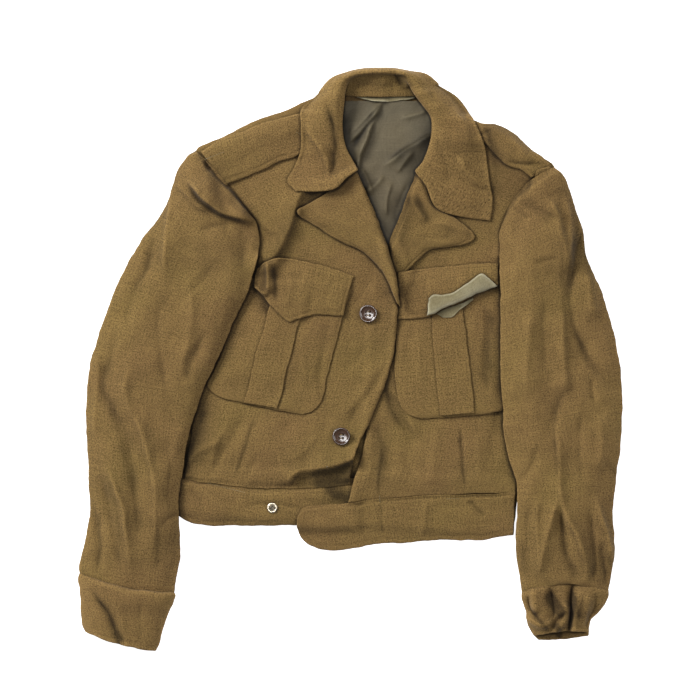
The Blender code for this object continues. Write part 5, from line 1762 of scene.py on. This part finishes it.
# Each finish's tones are worn (also painted highlight), body, other body and deep (painted shade).
serge = cloth_material(
    "serge",
    [(0.232, 0.143, 0.049), (0.165, 0.0995, 0.0355), (0.160, 0.1035, 0.0325), (0.060, 0.0355,
      0.0155)],
    (1.7, 2.8, 1.2), 0.95, 0.6, 1000.0, 570.0, 0.05,
)
sateen = cloth_material(
    "sateen",
    [(0.165, 0.136, 0.080), (0.104, 0.086, 0.052), (0.108, 0.082, 0.044), (0.032, 0.026, 0.016)],
    (0.35, 0.6, 0.5), 0.62, 0.12, 1800.0, 420.0, 0.0,
)
drill = cloth_material(
    "drill",
    [(0.560, 0.520, 0.370), (0.190, 0.158, 0.086), (0.170, 0.146, 0.074), (0.070, 0.058, 0.034)],
    (0.9, 0.8, 0.5), 0.9, 0.35, 1300.0, 420.0, 0.0,
)


def button_material():
    """Brown plastic with faint clouds in it and fine scuffs on it."""
    finish, tree, sockets = new_finish("glossy brown plastic")
    place = node(tree, "ShaderNodeTexCoord").outputs["Object"]
    cloud = clouds(tree, place, 160.0, 3.0)
    tone = mixed(tree, cloud, (0.024, 0.011, 0.005, 1), (0.070, 0.030, 0.013, 1))
    tree.links.new(tone, sockets["Base Color"])
    scuffs = clouds(tree, place, 900.0, 4.0)
    tree.links.new(remap(tree, scuffs, 0.0, 1.0, 0.1, 0.26), sockets["Roughness"])
    return finish


def snap_material():
    """Worn metal, darker towards the middle of the stud."""
    finish, tree, sockets = new_finish("worn metal")
    place = node(tree, "ShaderNodeTexCoord").outputs["Object"]
    rub = clouds(tree, place, 700.0, 4.0)
    tone = mixed(tree, rub, (0.22, 0.18, 0.12, 1), (0.46, 0.42, 0.34, 1))
    middle = (*((at - centre) * MM for at, centre in zip(SNAP_PLACE, PLAN_CENTRE)), 0)
    flat = vector_maths(tree, "MULTIPLY", in_0=place, in_1=(1, 1, 0))[0]
    out = vector_maths(tree, "DISTANCE", in_0=flat, in_1=middle)["Value"]
    darker_middle = remap(tree, out, 0.0030, 0.0042, 0.75, 0.0)
    tree.links.new(mixed(tree, darker_middle, tone, (0.035, 0.028, 0.018, 1)), sockets["Base Color"])
    sockets["Metallic"].default_value = 1.0
    sockets["Roughness"].default_value = 0.36
    return finish


finishes = {
    "serge": serge, "lining": sateen, "drill": drill,
    "button": button_material(), "snap": snap_material(),
}
for slot_name, pieces in slots.items():
    for piece in pieces:
        piece.data.materials.append(finishes[slot_name])
print({slot_name: len(pieces) for slot_name, pieces in slots.items()})

# %% [markdown]
# ## Floor, light and camera
#
# The jacket lies on a plain white sweep under soft light from the upper left.  A third
# light, which only glossy things show, gives the buttons their highlight.  The camera
# looks straight down with a long lens, so that nothing leans.

# %% Floor, light and camera
FLOOR, FLOOR_Z = 3, -0.0005  # half the floor's side, and its height just below the cloth
corners = [(a * FLOOR, b * FLOOR, FLOOR_Z) for a, b in ((-1, -1), (1, -1), (1, 1), (-1, 1))]
floor_mesh = bpy.data.meshes.new("floor")
floor_mesh.from_pydata(corners, [], [(0, 1, 2, 3)])
floor = bpy.data.objects.new("floor", floor_mesh)
bpy.context.scene.collection.objects.link(floor)
paper, _, sockets = new_finish("white sweep")
sockets["Base Color"].default_value = (0.9, 0.9, 0.9, 1)
sockets["Roughness"].default_value = 1.0
sockets["Emission Color"].default_value = (1, 1, 1, 1)
sockets["Emission Strength"].default_value = 0.95
floor_mesh.materials.append(paper)

world = bpy.data.worlds.new("studio")
bpy.context.scene.world = world
world.use_nodes = True
sky = world.node_tree.nodes["Background"].inputs
sky["Color"].default_value = (1, 1, 1, 1)
sky["Strength"].default_value = 0.33


def add_light(name, place, size, power):
    """An area light that faces the middle of the jacket."""
    lamp = bpy.data.lights.new(name, "AREA")
    lamp.shape, lamp.size, lamp.size_y, lamp.energy = "RECTANGLE", *size, power
    light = bpy.data.objects.new(name, lamp)
    light.location = place
    light.rotation_euler = (-Vector(place)).to_track_quat("-Z", "Y").to_euler()
    bpy.context.scene.collection.objects.link(light)
    return light


add_light("window", (-4.2, 3.3, 3.3), (2.3, 2.3), 540)
add_light("fill", (4.0, 0.6, 3.6), (2.5, 2.5), 100)
glint = add_light("glint", (-0.42, 0.16, 2.8), (0.9, 1.4), 80)
glint.visible_diffuse = False
glint.visible_camera = False

CAMERA_UP, FIELD, SENSOR = 6.0, 0.84, 36.0  # metres up, metres across the picture, mm
lens = bpy.data.cameras.new("camera")
lens.sensor_width, lens.lens = SENSOR, SENSOR * CAMERA_UP / FIELD
lens.clip_start, lens.clip_end = 0.1, 30.0
camera = bpy.data.objects.new("camera", lens)
camera.location = (-0.0009, 0.0114, CAMERA_UP)
bpy.context.scene.collection.objects.link(camera)
bpy.context.scene.camera = camera
bpy.context.scene.view_settings.view_transform = "Standard"
print("camera looks straight down from", camera.location.z, "m")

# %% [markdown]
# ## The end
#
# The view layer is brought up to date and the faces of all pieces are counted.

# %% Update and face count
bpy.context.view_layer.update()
total = sum(len(piece.data.polygons) for pieces in slots.values() for piece in pieces)
print("faces in all pieces:", total)
